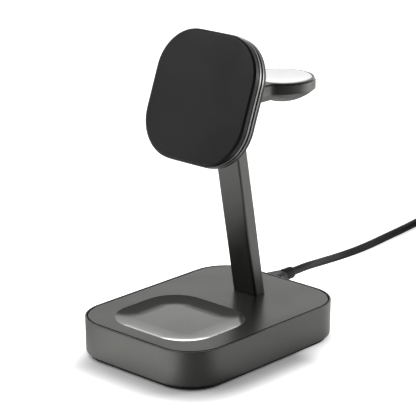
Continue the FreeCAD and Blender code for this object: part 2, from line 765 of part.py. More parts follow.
def make_socket(name, x):
    """A power socket on the board's back edge: its folded shell and the contact tongue inside."""
    shell = new_body(f"{name}_socket")
    outer = facing(shell, socket_mouth, x, s.socket_z)
    rounded_rect(outer, s.socket_width, s.socket_height, s.socket_height / 2 - s.socket_wall / 2)
    pad(shell, outer, s.socket_length)
    inner = facing(shell, socket_mouth, x, s.socket_z)
    double = 2 * s.socket_wall
    inner_round = s.socket_height / 2 - s.socket_wall * 1.5
    rounded_rect(inner, s.socket_width - double, s.socket_height - double, inner_round)
    pocket(shell, inner, s.socket_length - s.socket_wall, away=True)
    start = socket_inner_end + s.socket_wall
    tongue = box(
        f"{name}_tongue_block",
        s.tongue_width,
        s.tongue_length,
        s.tongue_thick,
        x,
        start + s.tongue_length / 2,
        s.socket_z - s.tongue_thick / 2,
    )
    keep(tongue, f"{name}_tongue")


def make_tray_coil():
    """The earbud coil and its ferrite sheet, glued under the tray."""
    coil = new_body("tray_coil")
    sketch = flat(coil, pan_bottom, NONE, tray_y)
    circles(sketch, s.tray_coil_outer)
    circles(sketch, s.tray_coil_inner)
    pad(coil, sketch, s.coil_thick, away=False)
    ferrite = new_body("tray_ferrite")
    side = s.tray_coil_outer + 2 * s.ferrite_margin
    sketch = flat(ferrite, pan_bottom - s.coil_thick, NONE, tray_y)
    pad(ferrite, rounded_rect(sketch, side, side, 2 * s.ferrite_margin), s.ferrite_thick, away=False)


# The stem and its foot


def make_stem():
    """The leaning tube that carries the head and the watch arm, cut level at both ends."""
    body = new_body("stem")
    section = across_stem(body)
    rounded_rect(section, s.stem_width, s.stem_thick, s.stem_round)
    double = 2 * s.stem_wall
    rounded_rect(section, s.stem_width - double, s.stem_thick - double, s.stem_round / 2)
    rise = (belly_top - s.base_top) / cosine(s.stem_tilt) + s.stem_thick
    pad(body, section, rise)
    lower = across_stem(body)
    rounded_rect(lower, s.stem_width, s.stem_thick, s.stem_round)
    rounded_rect(lower, s.stem_width - double, s.stem_thick - double, s.stem_round / 2)
    pad(body, lower, (s.base_top - ballast_top) / cosine(s.stem_tilt) + s.stem_thick, away=False)
    span = 2 * s.stem_width
    top = flat(body, belly_top, NONE, stem_y_at(belly_top))
    pocket(body, rounded_rect(top, span, span, s.stem_round), away=True)
    bottom = flat(body, ballast_top, NONE, stem_y_at(ballast_top))
    pocket(body, rounded_rect(bottom, span, span, s.stem_round))


def make_stem_foot():
    """The block under the cover that grips the stem's lower end, with its screws and set screws."""
    body = new_body("stem_foot")
    height = cover_bottom - ballast_top
    block = flat(body, ballast_top, NONE, foot_middle)
    pad(body, rounded_rect(block, s.stem_foot_width, s.stem_foot_depth, s.stem_wall), height)
    grip = across_stem(body)
    rounded_rect(grip, s.stem_width + s.stem_gap, s.stem_thick + s.stem_gap, s.stem_round + s.stem_gap / 2)
    pocket(body, grip)
    foot_back = foot_middle + s.stem_foot_depth / 2
    grub_z = ballast_top + height / 2
    half = s.grub_spacing / 2
    hole = facing(body, foot_back)
    circles(hole, s.grub_diameter + 2 * s.screw_gap, [(half, grub_z), (-half, grub_z)])
    pocket(body, hole, s.stem_foot_depth / 2, away=True)
    bores = circles(
        flat(body, ballast_top), s.foot_screw_diameter + 2 * s.screw_gap, foot_screw_places()
    )
    pocket(body, bores, s.foot_screw_bite, away=True)

    start = stem_y_at(grub_z - s.grub_diameter / 2) + stem_half
    forwards = SIDEWAYS, QUARTER_TURN
    grubs = [
        cylinder(f"grub_{index}", s.grub_diameter, foot_back - start, x, foot_back, grub_z, *forwards)
        for index, x in enumerate((half, -half))
    ]
    group("stem_set_screws", grubs)
    screws = []
    for index, (x, y) in enumerate(foot_screw_places()):
        head = cylinder(
            f"foot_screw_head_{index}", s.foot_screw_head, s.foot_screw_head_depth, x, y, plate_top
        )
        length = s.ballast_thick + s.foot_screw_bite
        shank = cylinder(f"foot_screw_shank_{index}", s.foot_screw_diameter, length, x, y, plate_top)
        screws.append(combine("Fuse", f"foot_screw_{index}", head, shank, keep=False))
    group("stem_foot_screws", screws)


def make_harness():
    """The wire bundle against the stem's back wall, from the base up to the watch arm."""
    body = new_body("stem_harness")
    place = (s.harness_offset, (stem_bore - s.harness_diameter) / 2)
    sketch = across_stem(body)
    circles(sketch, s.harness_diameter, [place])
    rise = (belly_top - s.base_top) / cosine(s.stem_tilt) - s.stem_thick / 2 * tangent(s.stem_tilt)
    pad(body, sketch, rise)
    lower = across_stem(body)
    circles(lower, s.harness_diameter, [place])
    drop = (s.base_top - ballast_top) / cosine(s.stem_tilt) - s.stem_thick / 2 * tangent(s.stem_tilt)
    pad(body, lower, drop, away=False)


# The watch arm and the hinge


def spoon_outline(sketch, neck_end):
    """The arm in plan: a neck that widens through two blends into a round end at the sketch's origin."""
    radius, blend, half = s.puck_diameter / 2, s.arm_blend, s.arm_width / 2
    r, f, h, end = radius.number, blend.number, half.number, neck_end.number
    across = h + f
    along = math.sqrt((r + f) ** 2 - across**2)
    meet = math.atan2(-along, across)
    left, right = FreeCAD.Vector(-h, -end, 0), FreeCAD.Vector(h, -end, 0)
    right_blend = Part.Circle(FreeCAD.Vector(across, -along, 0), UP, f)
    left_blend = Part.Circle(FreeCAD.Vector(-across, -along, 0), UP, f)
    turned = math.pi + meet
    pieces = (
        Part.LineSegment(left, right),
        Part.LineSegment(right, FreeCAD.Vector(h, -along, 0)),
        Part.ArcOfCircle(right_blend, turned, math.pi),
        Part.ArcOfCircle(Part.Circle(FreeCAD.Vector(), UP, r), meet, math.pi - meet),
        Part.ArcOfCircle(left_blend, 0, -meet),
        Part.LineSegment(FreeCAD.Vector(-h, -along, 0), left),
    )
    for piece in pieces:
        sketch.addGeometry(piece)
    constrain(sketch, "Coincident", 0, 2, 1, 1)
    constrain(sketch, "Tangent", 1, 2, 2, 2)
    constrain(sketch, "Tangent", 2, 1, 3, 1)
    constrain(sketch, "Tangent", 3, 2, 4, 2)
    constrain(sketch, "Tangent", 4, 1, 5, 1)
    constrain(sketch, "Coincident", 5, 2, 0, 1)
    constrain(sketch, "Coincident", 3, 3, -1, 1)
    constrain(sketch, "Horizontal", 0)
    constrain(sketch, "Vertical", 1)
    constrain(sketch, "Vertical", 5)
    constrain(sketch, "Equal", 2, 4)
    constrain(sketch, "Radius", 3, radius)
    constrain(sketch, "Radius", 2, blend)
    constrain(sketch, "DistanceX", -1, 1, 1, 1, half)
    constrain(sketch, "DistanceX", 5, 2, -1, 1, half)
    constrain(sketch, "DistanceY", 0, 1, -1, 1, neck_end)
    return sketch


def make_watch_arm():
    """The arm behind the head: a neck with a sloping underside, a domed round end and a hinge fork."""
    body = new_body("watch_arm")
    slab = spoon_outline(flat(body, belly_top, NONE, s.puck_y), s.puck_y - hinge_y)
    pad(body, slab, s.arm_wall)
    top = level_at("Z", s.arm_top)
    fork_y = hinge_y.number + EASE
    chamfer(body, s.arm_chamfer, lambda edge: top(edge) and edge.BoundBox.YMax > fork_y)
    stem_back_top = stem_y_at(belly_top) + stem_half
    stem_back_bottom = stem_y_at(belly_bottom) + stem_half
    under = s.arm_belly * tangent(s.belly_angle)
    neck_start = stem_back_top - under - s.stem_thick
    belly = flat(body, belly_top, NONE, (neck_start + s.puck_y) / 2)
    polygon(belly, four(-s.arm_width / 2, (neck_start - s.puck_y) / 2))
    pad(body, belly, s.arm_belly, away=False, taper=s.belly_angle)
    dome = facing(body, s.puck_y, NONE, belly_top)
    turn_solid(body, half_section(dome, [(NONE, NONE), (s.puck_diameter / 2, NONE)], s.dome_depth))
    ahead = hinge_y - s.stem_thick
    low = belly_bottom - s.arm_belly
    lean_more = (stem_back_bottom - stem_back_top) * 2
    wedge = sideways(body, s.arm_width)
    polygon(
        wedge,
        [
            (ahead - under, belly_top),
            (ahead - under, low),
            (stem_back_top + lean_more, low),
            (stem_back_top, belly_top),
        ],
    )
    pocket(body, wedge, 2 * s.arm_width)
    barrel = sideways(body, -s.arm_width / 2, hinge_y, hinge_z)
    pad(body, circles(barrel, s.arm_wall), s.arm_width)
    root = s.arm_wall / 3
    spigot = across_stem(body, (belly_top - s.base_top) / cosine(s.stem_tilt) + root, -s.spigot_offset)
    rounded_rect(spigot, s.spigot_width, stem_bore - s.stem_gap, s.stem_round / 2)
    pad(body, spigot, s.spigot_length + root, away=False)
    well = flat(body, s.arm_top, NONE, s.puck_y)
    circles(well, s.cap_diameter + 2 * s.cap_gap)
    pocket(body, well, s.cap_thick - s.cap_proud + s.coil_thick + s.ferrite_thick)
    slot = flat(body, s.arm_top, NONE, hinge_y)
    rounded_rect(slot, s.lug_slot, s.arm_wall + 2 * s.stem_gap, s.stem_gap)
    pocket(body, slot)
    pin = sideways(body, s.arm_width, hinge_y, hinge_z)
    pocket(body, circles(pin, s.hinge_pin + 2 * s.pin_seat), 2 * s.arm_width)


def make_watch_charger():
    """The ferrite, coil and magnet in the arm's round end, and the white cap over them."""
    cap_bottom = s.arm_top + s.cap_proud - s.cap_thick
    coil_bottom = cap_bottom - s.coil_thick
    ferrite = new_body("watch_ferrite")
    sketch = circles(flat(ferrite, coil_bottom, NONE, s.puck_y), s.watch_coil_outer + s.ferrite_margin)
    pad(ferrite, sketch, s.ferrite_thick, away=False)
    coil = new_body("watch_coil")
    sketch = flat(coil, coil_bottom, NONE, s.puck_y)
    circles(sketch, s.watch_coil_outer)
    circles(sketch, s.watch_coil_inner)
    pad(coil, sketch, s.coil_thick)
    magnet = cylinder("watch_magnet_disc", s.watch_magnet, s.coil_thick, NONE, s.puck_y, coil_bottom)
    keep(magnet, "watch_magnet")
    cap = new_body("watch_cap")
    top = s.cap_thick
    half = s.cap_diameter / 2
    edge = s.cap_proud
    profile = facing(cap, s.puck_y, NONE, cap_bottom)
    # Half of the cap in section: a flat underside, an eased edge, a lip and a shallow hollow.
    outside = [(NONE, NONE), (half, NONE), (half, top - edge), (half - edge, top), (half - s.cap_lip, top)]
    turn_solid(cap, half_section(profile, outside, s.cap_dish))


def make_hinge_pin():
    """The pin across the arm's fork and the two friction washers beside the lug."""
    half = s.arm_width / 2
    length = s.arm_width - 2 * s.rim_round
    turn = (FreeCAD.Vector(0, 1, 0), QUARTER_TURN)
    pin = cylinder("pin_rod", s.hinge_pin, length, s.rim_round - half, hinge_y, hinge_z, *turn)
    keep(pin, "hinge_pin")
    washers = []
    spare = (s.lug_slot - s.lug_width) / 2 - s.washer_thick
    for index, start in enumerate((-s.lug_slot / 2 + spare / 2, s.lug_width / 2 + spare / 2)):
        sizes = s.washer_thick, start, hinge_y, hinge_z
        disc = cylinder(f"washer_disc_{index}", s.washer_diameter, *sizes, *turn)
        bore = cylinder(f"washer_bore_{index}", s.hinge_pin + 2 * s.pin_gap, *sizes, *turn)
        washers.append(combine("Cut", f"washer_{index}", disc, bore, keep=False))
    group("hinge_washers", washers)


# The phone head, built upright about the centre of its face and then tilted back


def head_body(label):
    """An empty body placed and tilted as the head is."""
    body = new_body(label)
    tilt_head(body)
    return body


def tilt_head(item):
    """Move a piece built about the face's centre to the head's place."""
    turn = FreeCAD.Rotation(FreeCAD.Vector(-1, 0, 0), s.head_tilt.number)
    item.Placement = FreeCAD.Placement(FreeCAD.Vector(0, -s.head_y.number, s.head_z.number), turn)
    bind(item, "Placement.Base.y", -s.head_y)
    bind(item, "Placement.Base.z", s.head_z)
    bind(item, "Placement.Rotation.Angle", s.head_tilt)


def head_outline(sketch, inset):
    """The head's rounded outline, drawn in by a distance."""
    return rounded_rect(sketch, s.head_width - 2 * inset, s.head_height - 2 * inset, s.head_round - inset)


def make_pad_cover():
    """The soft front cover, hollow behind its face, with a lip through the frame to the back cover."""
    body = head_body("pad_cover")
    pad(body, head_outline(facing(body, NONE), NONE), s.pad_depth, away=False)
    fillet(body, s.pad_edge, level_at("Y", NONE))
    lip_outside = s.frame_wall - s.fin_proud + s.lip_gap
    lip = facing(body, s.pad_depth)
    lip_end = frame_back - s.lip_length
    pad(body, head_outline(lip, lip_outside), lip_end - s.pad_depth, away=False)
    hollow = facing(body, lip_end)
    head_outline(hollow, lip_outside + s.lip_wall)
    pocket(body, hollow, lip_end - s.pad_skin, away=True)


def make_head_frame():
    """The metal frame round the head: two fins with a groove between them."""
    body = head_body("head_frame")
    out = -s.fin_proud
    pad(body, head_outline(facing(body, frame_front), out), s.fin_front, away=False)
    chamfer(body, s.fin_chamfer, level_at("Y", frame_front, groove_front))
    core = facing(body, groove_front)
    pad(body, head_outline(core, out + s.groove_depth), s.fin_groove, away=False)
    back = facing(body, groove_back)
    pad(body, head_outline(back, out), s.fin_back, away=False)
    reach = s.head_width.number / 2 + s.fin_proud.number - s.groove_depth.number / 2
    edges = level_at("Y", groove_back, frame_back)

    def fin_edges(edge):
        """The back fin's outer edges, and not the foot of the groove."""
        box = edge.BoundBox
        wide = max(abs(box.XMin), abs(box.XMax), abs(box.ZMin), abs(box.ZMax))
        return edges(edge) and wide > reach

    chamfer(body, s.fin_chamfer, fin_edges)
    opening = facing(body, frame_back)
    pocket(body, head_outline(opening, out + s.frame_wall), away=True)


def make_head_back():
    """The back cover of the head, slotted for the hinge lug."""
    body = head_body("head_back")
    pad(body, head_outline(facing(body, frame_back), NONE), s.back_thick, away=False)
    fillet(body, s.back_edge, level_at("Y", head_depth))
    lip = facing(body, frame_back)
    lip_outside = s.frame_wall - s.fin_proud + s.lip_gap
    head_outline(lip, lip_outside)
    pad(body, lip, s.lip_length)
    hollow = facing(body, frame_back - s.lip_length)
    head_outline(hollow, lip_outside + s.lip_wall)
    pocket(body, hollow, s.lip_length)
    slot = facing(body, head_depth, NONE, hinge_rise)
    clear = 2 * s.lip_gap
    rounded_rect(slot, s.lug_width + clear, 2 * s.lug_round + clear, s.lip_wall / 2 + s.lip_gap)
    pocket(body, slot, away=True)
    bores = facing(body, frame_back, NONE, hinge_rise)
    circles(bores, s.lug_screw + s.screw_gap, four(s.lug_screw_x, s.lug_screw_z))
    pocket(body, bores, s.lug_screw_bite + s.screw_gap)


def make_lug():
    """The hinge lug, screwed to the inside of the back cover, with its knuckle behind it."""
    body = head_body("hinge_lug")
    flange = facing(body, frame_back - s.flange_thick, NONE, hinge_rise)
    pad(body, rounded_rect(flange, s.flange_width, s.flange_height, s.lug_round), s.flange_thick, away=False)
    web = facing(body, frame_back, NONE, hinge_rise)
    rounded_rect(web, s.lug_width, 2 * s.lug_round, s.lip_wall / 2)
    pad(body, web, hinge_depth - frame_back, away=False)
    knuckle = sideways(body, -s.lug_width / 2, hinge_depth, hinge_rise)
    pad(body, circles(knuckle, 2 * s.lug_round), s.lug_width)
    bore = sideways(body, s.lug_width, hinge_depth, hinge_rise)
    pocket(body, circles(bore, s.hinge_pin + 2 * s.pin_gap), 2 * s.lug_width)
    holes = facing(body, frame_back - s.flange_thick, NONE, hinge_rise)
    circles(holes, s.lug_screw + 2 * s.screw_gap, four(s.lug_screw_x, s.lug_screw_z))
    pocket(body, holes, s.flange_thick)

    screws = []
    flange_front = frame_back - s.flange_thick
    back = (FreeCAD.Vector(-1, 0, 0), QUARTER_TURN)
    for index, (x, z) in enumerate(four(s.lug_screw_x, s.lug_screw_z)):
        rise = z + hinge_rise
        start = flange_front - s.lug_screw_head_depth
        sizes = s.lug_screw_head, s.lug_screw_head_depth
        head = cylinder(f"lug_screw_head_{index}", *sizes, x, start, rise, *back)
        length = s.lug_screw_head_depth + s.flange_thick + s.lug_screw_bite
        shank = cylinder(f"lug_screw_shank_{index}", s.lug_screw, length, x, start, rise, *back)
        screws.append(combine("Fuse", f"lug_screw_{index}", head, shank, keep=False))
    tilt_head(group("lug_screws", screws))


def make_phone_charger():
    """The magnets, coil, ferrite and board inside the head, stacked behind the front cover's face."""
    pieces = []
    outer = head_span.number / 2 - s.magnet_margin.number
    inner = outer - s.magnet_band.number
    sweep = WHOLE_TURN / MAGNETS - s.magnet_split_angle.number
    middle, along = FreeCAD.Vector(0, s.pad_skin.number, 0), FreeCAD.Vector(0, 1, 0)
    thick = s.magnet_thick.number
    for index in range(MAGNETS):
        disc = Part.makeCylinder(outer, thick, middle, along, sweep)
        piece = disc.cut(Part.makeCylinder(inner, thick, middle, along))
        piece.rotate(middle, along, index * WHOLE_TURN / MAGNETS)
        pieces.append(piece)
    ring = doc.addObject("Part::Feature", "magnet_ring")
    ring.Label = "magnet_ring"
    ring.Shape = Part.makeCompound(pieces)
    tilt_head(ring)
    PARTS.append(ring)

    coil_outer = head_span - 2 * (s.magnet_margin + s.magnet_band + s.phone_coil_gap)
    coil = head_body("phone_coil")
    sketch = facing(coil, s.pad_skin)
    circles(sketch, coil_outer)
    circles(sketch, coil_outer - 2 * s.phone_coil_band)
    pad(coil, sketch, s.coil_thick, away=False)
    ferrite = head_body("phone_ferrite")
    sketch = circles(facing(ferrite, s.pad_skin + s.coil_thick), coil_outer + s.phone_coil_gap)
    pad(ferrite, sketch, s.ferrite_thick, away=False)
    board = head_body("head_board")
    sketch = facing(board, s.pad_skin + s.coil_thick + s.ferrite_thick)
    rounded_rect(sketch, s.head_board_width, s.head_board_height, s.ferrite_margin)
    pad(board, sketch, s.head_board_thick, away=False)


# The lead: two plugs, the cable between them and the tied coil of its spare length


def make_plug(name, x, y, z):
    """A plug whose contact shell points to the front and whose collar lets the cable out behind."""
    plug = new_body(f"{name}_plug")
    shell = new_body(f"{name}_plug_shell")
    collar = new_body(f"{name}_collar")
    for body in (plug, shell, collar):
        for axis, place in zip("xyz", (x, y, z)):
            bind(body, f"Placement.Base.{axis}", place)
    sketch = rounded_rect(facing(plug, NONE), s.plug_width, s.plug_height, s.plug_round)
    pad(plug, sketch, s.plug_straight, away=False)
    shoulder = rounded_rect(facing(plug, s.plug_straight), s.plug_width, s.plug_height, s.plug_round)
    end = facing(plug, s.plug_straight + s.plug_taper_length)
    rounded_rect(end, s.plug_end_width, s.plug_end_height, s.plug_end_round)
    tapered = plug.newObject("PartDesign::AdditiveLoft", f"{name}_plug_taper")
    tapered.Profile = shoulder
    tapered.Sections = [end]
    tapered.Ruled = True
    plug.Tip = tapered
    fillet(plug, s.rim_round, level_at("Y", NONE))

    double = 2 * s.contact_wall
    outside_round = s.contact_height / 2 - s.contact_wall / 2
    sketch = rounded_rect(facing(shell, NONE), s.contact_width, s.contact_height, outside_round)
    inside_round = s.contact_height / 2 - s.contact_wall * 1.5
    rounded_rect(sketch, s.contact_width - double, s.contact_height - double, inside_round)
    pad(shell, sketch, s.contact_length)

    start = s.plug_straight + s.plug_taper_length
    pad(collar, circles(facing(collar, start), s.collar_diameter), s.collar_length, away=False)
    fillet(collar, s.collar_edge, level_at("Y", start, start + s.collar_length))


def rounded_path(points):
    """Straight runs joined by tangent arcs, each arc as large as its two runs allow."""
    corners = [FreeCAD.Vector(*point) for point in points]
    edges, radii, start = [], [], corners[0]
    for before, corner, after in zip(corners, corners[1:], corners[2:]):
        back, ahead = before - corner, after - corner
        reach = ARC_SHARE * min(back.Length, ahead.Length)
        half_turn = (math.pi - back.getAngle(ahead)) / 2
        radii.append(reach / math.tan(half_turn))
        back.normalize()
        ahead.normalize()
        first, last = corner + back * reach, corner + ahead * reach
        bisector = back + ahead
        bisector.normalize()
        sag = radii[-1] * (1 / math.cos(half_turn) - 1)
        edges.append(Part.LineSegment(start, first).toShape())
        edges.append(Part.Arc(first, corner + bisector * sag, last).toShape())
        start = last
    edges.append(Part.LineSegment(start, corners[-1]).toShape())
    return Part.Wire(edges), radii


def make_tube(label, points):
    """A length of cable along its route."""
    path, radii = rounded_path(points)
    direction = FreeCAD.Vector(*points[1]) - FreeCAD.Vector(*points[0])
    circle = Part.Circle(FreeCAD.Vector(*points[0]), direction, s.cable_diameter.number / 2)
    tube = doc.addObject("Part::Feature", label)
    tube.Label = label
    tube.Shape = path.makePipeShell([Part.Wire(circle.toShape())], True, True)
    PARTS.append(tube)
    area = math.pi * s.cable_diameter.number**2 / 4
    print(label, "length", round(path.Length, 1), "radii", [round(radius) for radius in radii])
    print(label, "volume over section times length", round(tube.Shape.Volume / (area * path.Length), 4))


def make_cable():
    """The cable's two free runs, its coil and the strap that ties the coil."""
    make_tube("cable_run", CABLE_ROUTE)
    make_tube("cable_tail", TAIL_ROUTE)
    coil_x, coil_y = (as_measure(place) for place in COIL_MIDDLE)
    thick = s.coil_pitch * (s.coil_turns_across - 1) + s.cable_diameter
    coil = new_body("cable_coil")
    ring = flat(coil, s.tie_thick, coil_x, coil_y)
    circles(ring, 2 * s.coil_radius + thick)
    circles(ring, 2 * s.coil_radius - thick)
    pad(coil, ring, thick)
    fillet(coil, s.coil_edge, level_at("Z", s.tie_thick, s.tie_thick + thick))
    room = thick + 2 * s.tie_slack
    double = 2 * s.tie_thick
    across = coil_y - s.coil_radius
    strap = box("tie_block", s.tie_width, room + double, thick + double, coil_x, across, NONE)
    inside = box("tie_room", s.tie_width * 2, room, thick, coil_x, across, s.tie_thick)
    combine("Cut", "coil_tie", strap, inside)


def check_and_write():
    """Stop if any object failed, then write each sub-part's file."""
    doc.recompute()
    failed = [item.Name for item in doc.Objects if {"Invalid", "Error"} & set(item.State)]
    if failed:
        raise ValueError(f"failed objects: {failed}")
    for part in PARTS:
        if part.Shape.isNull() or not part.Shape.isValid() or not part.Shape.Solids:
            raise ValueError(f"{part.Label} is not a valid solid")
    os.makedirs("parts", exist_ok=True)
    for part in PARTS:
        part.Shape.exportStep(os.path.join("parts", f"{part.Label}.step"))
        print(part.Label, len(part.Shape.Solids), "solids", round(part.Shape.Volume, 1), "mm3")


make_housing()
make_cover()
make_bottom()
make_ballast()
make_board()
make_socket("input", -socket_x)
make_socket("output", socket_x)
make_tray_coil()
make_stem()
make_stem_foot()
make_harness()
make_watch_arm()
make_watch_charger()
make_hinge_pin()
make_pad_cover()
make_head_frame()
make_head_back()
make_lug()
make_phone_charger()
make_plug("cable", -socket_x, base_back + s.plug_gap, s.socket_z)
far_end = as_measure(TAIL_ROUTE[-1][1]) - s.collar_length - s.plug_taper_length - s.plug_straight
make_plug("far", as_measure(FAR_PLUG_X), far_end, s.collar_diameter / 2)
make_cable()
check_and_write()
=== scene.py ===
"""Looks of a desk charging stand: its finishes, its lead and its studio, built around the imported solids."""

from __future__ import annotations

import json
import logging
import math
from dataclasses import dataclass, field
from enum import Enum
from typing import ClassVar, Optional, Union

import bmesh
import bpy
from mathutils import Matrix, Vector

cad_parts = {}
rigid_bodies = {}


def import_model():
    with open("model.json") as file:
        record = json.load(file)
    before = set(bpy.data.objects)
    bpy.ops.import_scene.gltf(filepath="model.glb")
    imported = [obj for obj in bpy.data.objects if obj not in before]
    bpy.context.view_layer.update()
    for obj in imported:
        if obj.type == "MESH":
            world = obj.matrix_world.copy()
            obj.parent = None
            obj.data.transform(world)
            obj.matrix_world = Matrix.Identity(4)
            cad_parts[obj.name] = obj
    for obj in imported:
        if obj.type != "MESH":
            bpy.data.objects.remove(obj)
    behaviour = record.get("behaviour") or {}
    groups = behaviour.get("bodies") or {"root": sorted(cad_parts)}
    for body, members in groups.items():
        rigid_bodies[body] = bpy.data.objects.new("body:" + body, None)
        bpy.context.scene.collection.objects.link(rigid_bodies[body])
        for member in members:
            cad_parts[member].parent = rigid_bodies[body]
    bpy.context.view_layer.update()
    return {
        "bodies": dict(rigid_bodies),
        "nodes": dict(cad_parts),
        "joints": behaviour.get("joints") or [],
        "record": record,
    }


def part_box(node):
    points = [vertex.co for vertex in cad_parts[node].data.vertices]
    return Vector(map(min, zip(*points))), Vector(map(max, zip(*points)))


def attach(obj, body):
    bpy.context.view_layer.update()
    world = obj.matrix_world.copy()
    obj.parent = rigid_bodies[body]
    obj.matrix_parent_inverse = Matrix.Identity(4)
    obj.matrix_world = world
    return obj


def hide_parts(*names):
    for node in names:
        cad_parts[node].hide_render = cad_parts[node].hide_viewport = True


LOG = logging.getLogger("charging_stand")
MM = 0.001
WHITE = (1.0, 1.0, 1.0)
# Crest to crest of the Wave node at scale 1.
WAVE_PITCH = math.tau / 20

Colour = tuple[float, float, float]
Point = tuple[float, float, float]
Value = Union[float, tuple, bpy.types.NodeSocket]


class Body(Enum):
    """The two rigid bodies of the stand."""

    BASE = "base"
    HEAD = "head"


class Effect(Enum):
    """Surface effects that several finishes share, each one shader node group."""

    GRAIN = "fine_grain"
    MOTTLE = "broad_mottle"
    # Edge wear, and a painted highlight along edges.
    RUB_AND_HIGHLIGHT = "edge_rub"
    DUST = "settled_dust"


class Graph:
    """A node tree that is being wired, with short ways to add and join its nodes."""

    def __init__(self, tree: bpy.types.NodeTree) -> None:
        """Keep the tree that the nodes go into."""
        self.tree = tree

    def add(self, kind: str, inputs: Optional[dict] = None, **settings: object) -> bpy.types.Node:
        """Add a node and fill its inputs.

        Args:
            kind: the node's type name.
            inputs: socket name or number to a value, or to another node's socket.
            settings: the node's own properties.

        Returns:
            The new node.
        """
        node = self.tree.nodes.new(kind)
        for name, value in settings.items():
            setattr(node, name, value)
        for name, value in (inputs or {}).items():
            self.feed(node.inputs[name], value)
        return node

    def feed(self, socket: bpy.types.NodeSocket, value: Value) -> None:
        """Link a socket to another, or set its value.

        Args:
            socket: the input to fill.
            value: a plain value, or the socket that feeds it.
        """
        if isinstance(value, bpy.types.NodeSocket):
            self.tree.links.new(value, socket)
        else:
            socket.default_value = value

    def sum(self, operation: str, *numbers: Value) -> bpy.types.NodeSocket:
        """Combine numbers.

        Args:
            operation: the Math node's operation.
            numbers: its numbers, in order.

        Returns:
            The result.
        """
        return self.add("ShaderNodeMath", dict(enumerate(numbers)), operation=operation).outputs[0]

    def vector(self, operation: str, *vectors: Value) -> bpy.types.Node:
        """Combine vectors.

        Args:
            operation: the Vector Math node's operation.
            vectors: its vectors, in order.

        Returns:
            The node, whose outputs are Vector and Value.
        """
        return self.add("ShaderNodeVectorMath", dict(enumerate(vectors)), operation=operation)

    def place(self) -> bpy.types.NodeSocket:
        """Where a point is on the stand, in metres."""
        return self.add("ShaderNodeTexCoord").outputs["Object"]

    def remap(self, value: Value, source: tuple, target: tuple) -> bpy.types.NodeSocket:
        """Carry a number smoothly from one range to another, held within it.

        Args:
            value: the number.
            source: the range it comes from.
            target: the range it goes to.

        Returns:
            The remapped number.
        """
        inputs = dict(enumerate((value, *source, *target)))
        return self.add("ShaderNodeMapRange", inputs, interpolation_type="SMOOTHSTEP").outputs[0]

    def tint(self, blend: str, amount: Value, first: Value, second: Value) -> bpy.types.NodeSocket:
        """Blend two colours.

        Args:
            blend: the Mix node's way of blending.
            amount: how much of the second colour, 0 to 1.
            first: the colour underneath.
            second: the colour on top.

        Returns:
            The blended colour.
        """
        node = self.add("ShaderNodeMix", data_type="RGBA", blend_type=blend)
        for index, value in ((0, amount), (6, first), (7, second)):
            self.feed(node.inputs[index], opaque(value))
        return node.outputs[2]


def opaque(value: Value) -> Value:
    """Give a plain three-part colour its alpha, and leave anything else alone."""
    return (*value, 1.0) if isinstance(value, tuple) and len(value) == 3 else value


def scaled(parts: Point, share: float) -> Point:
    """A colour or a point with each of its parts multiplied by a share."""
    return tuple(share * part for part in parts)


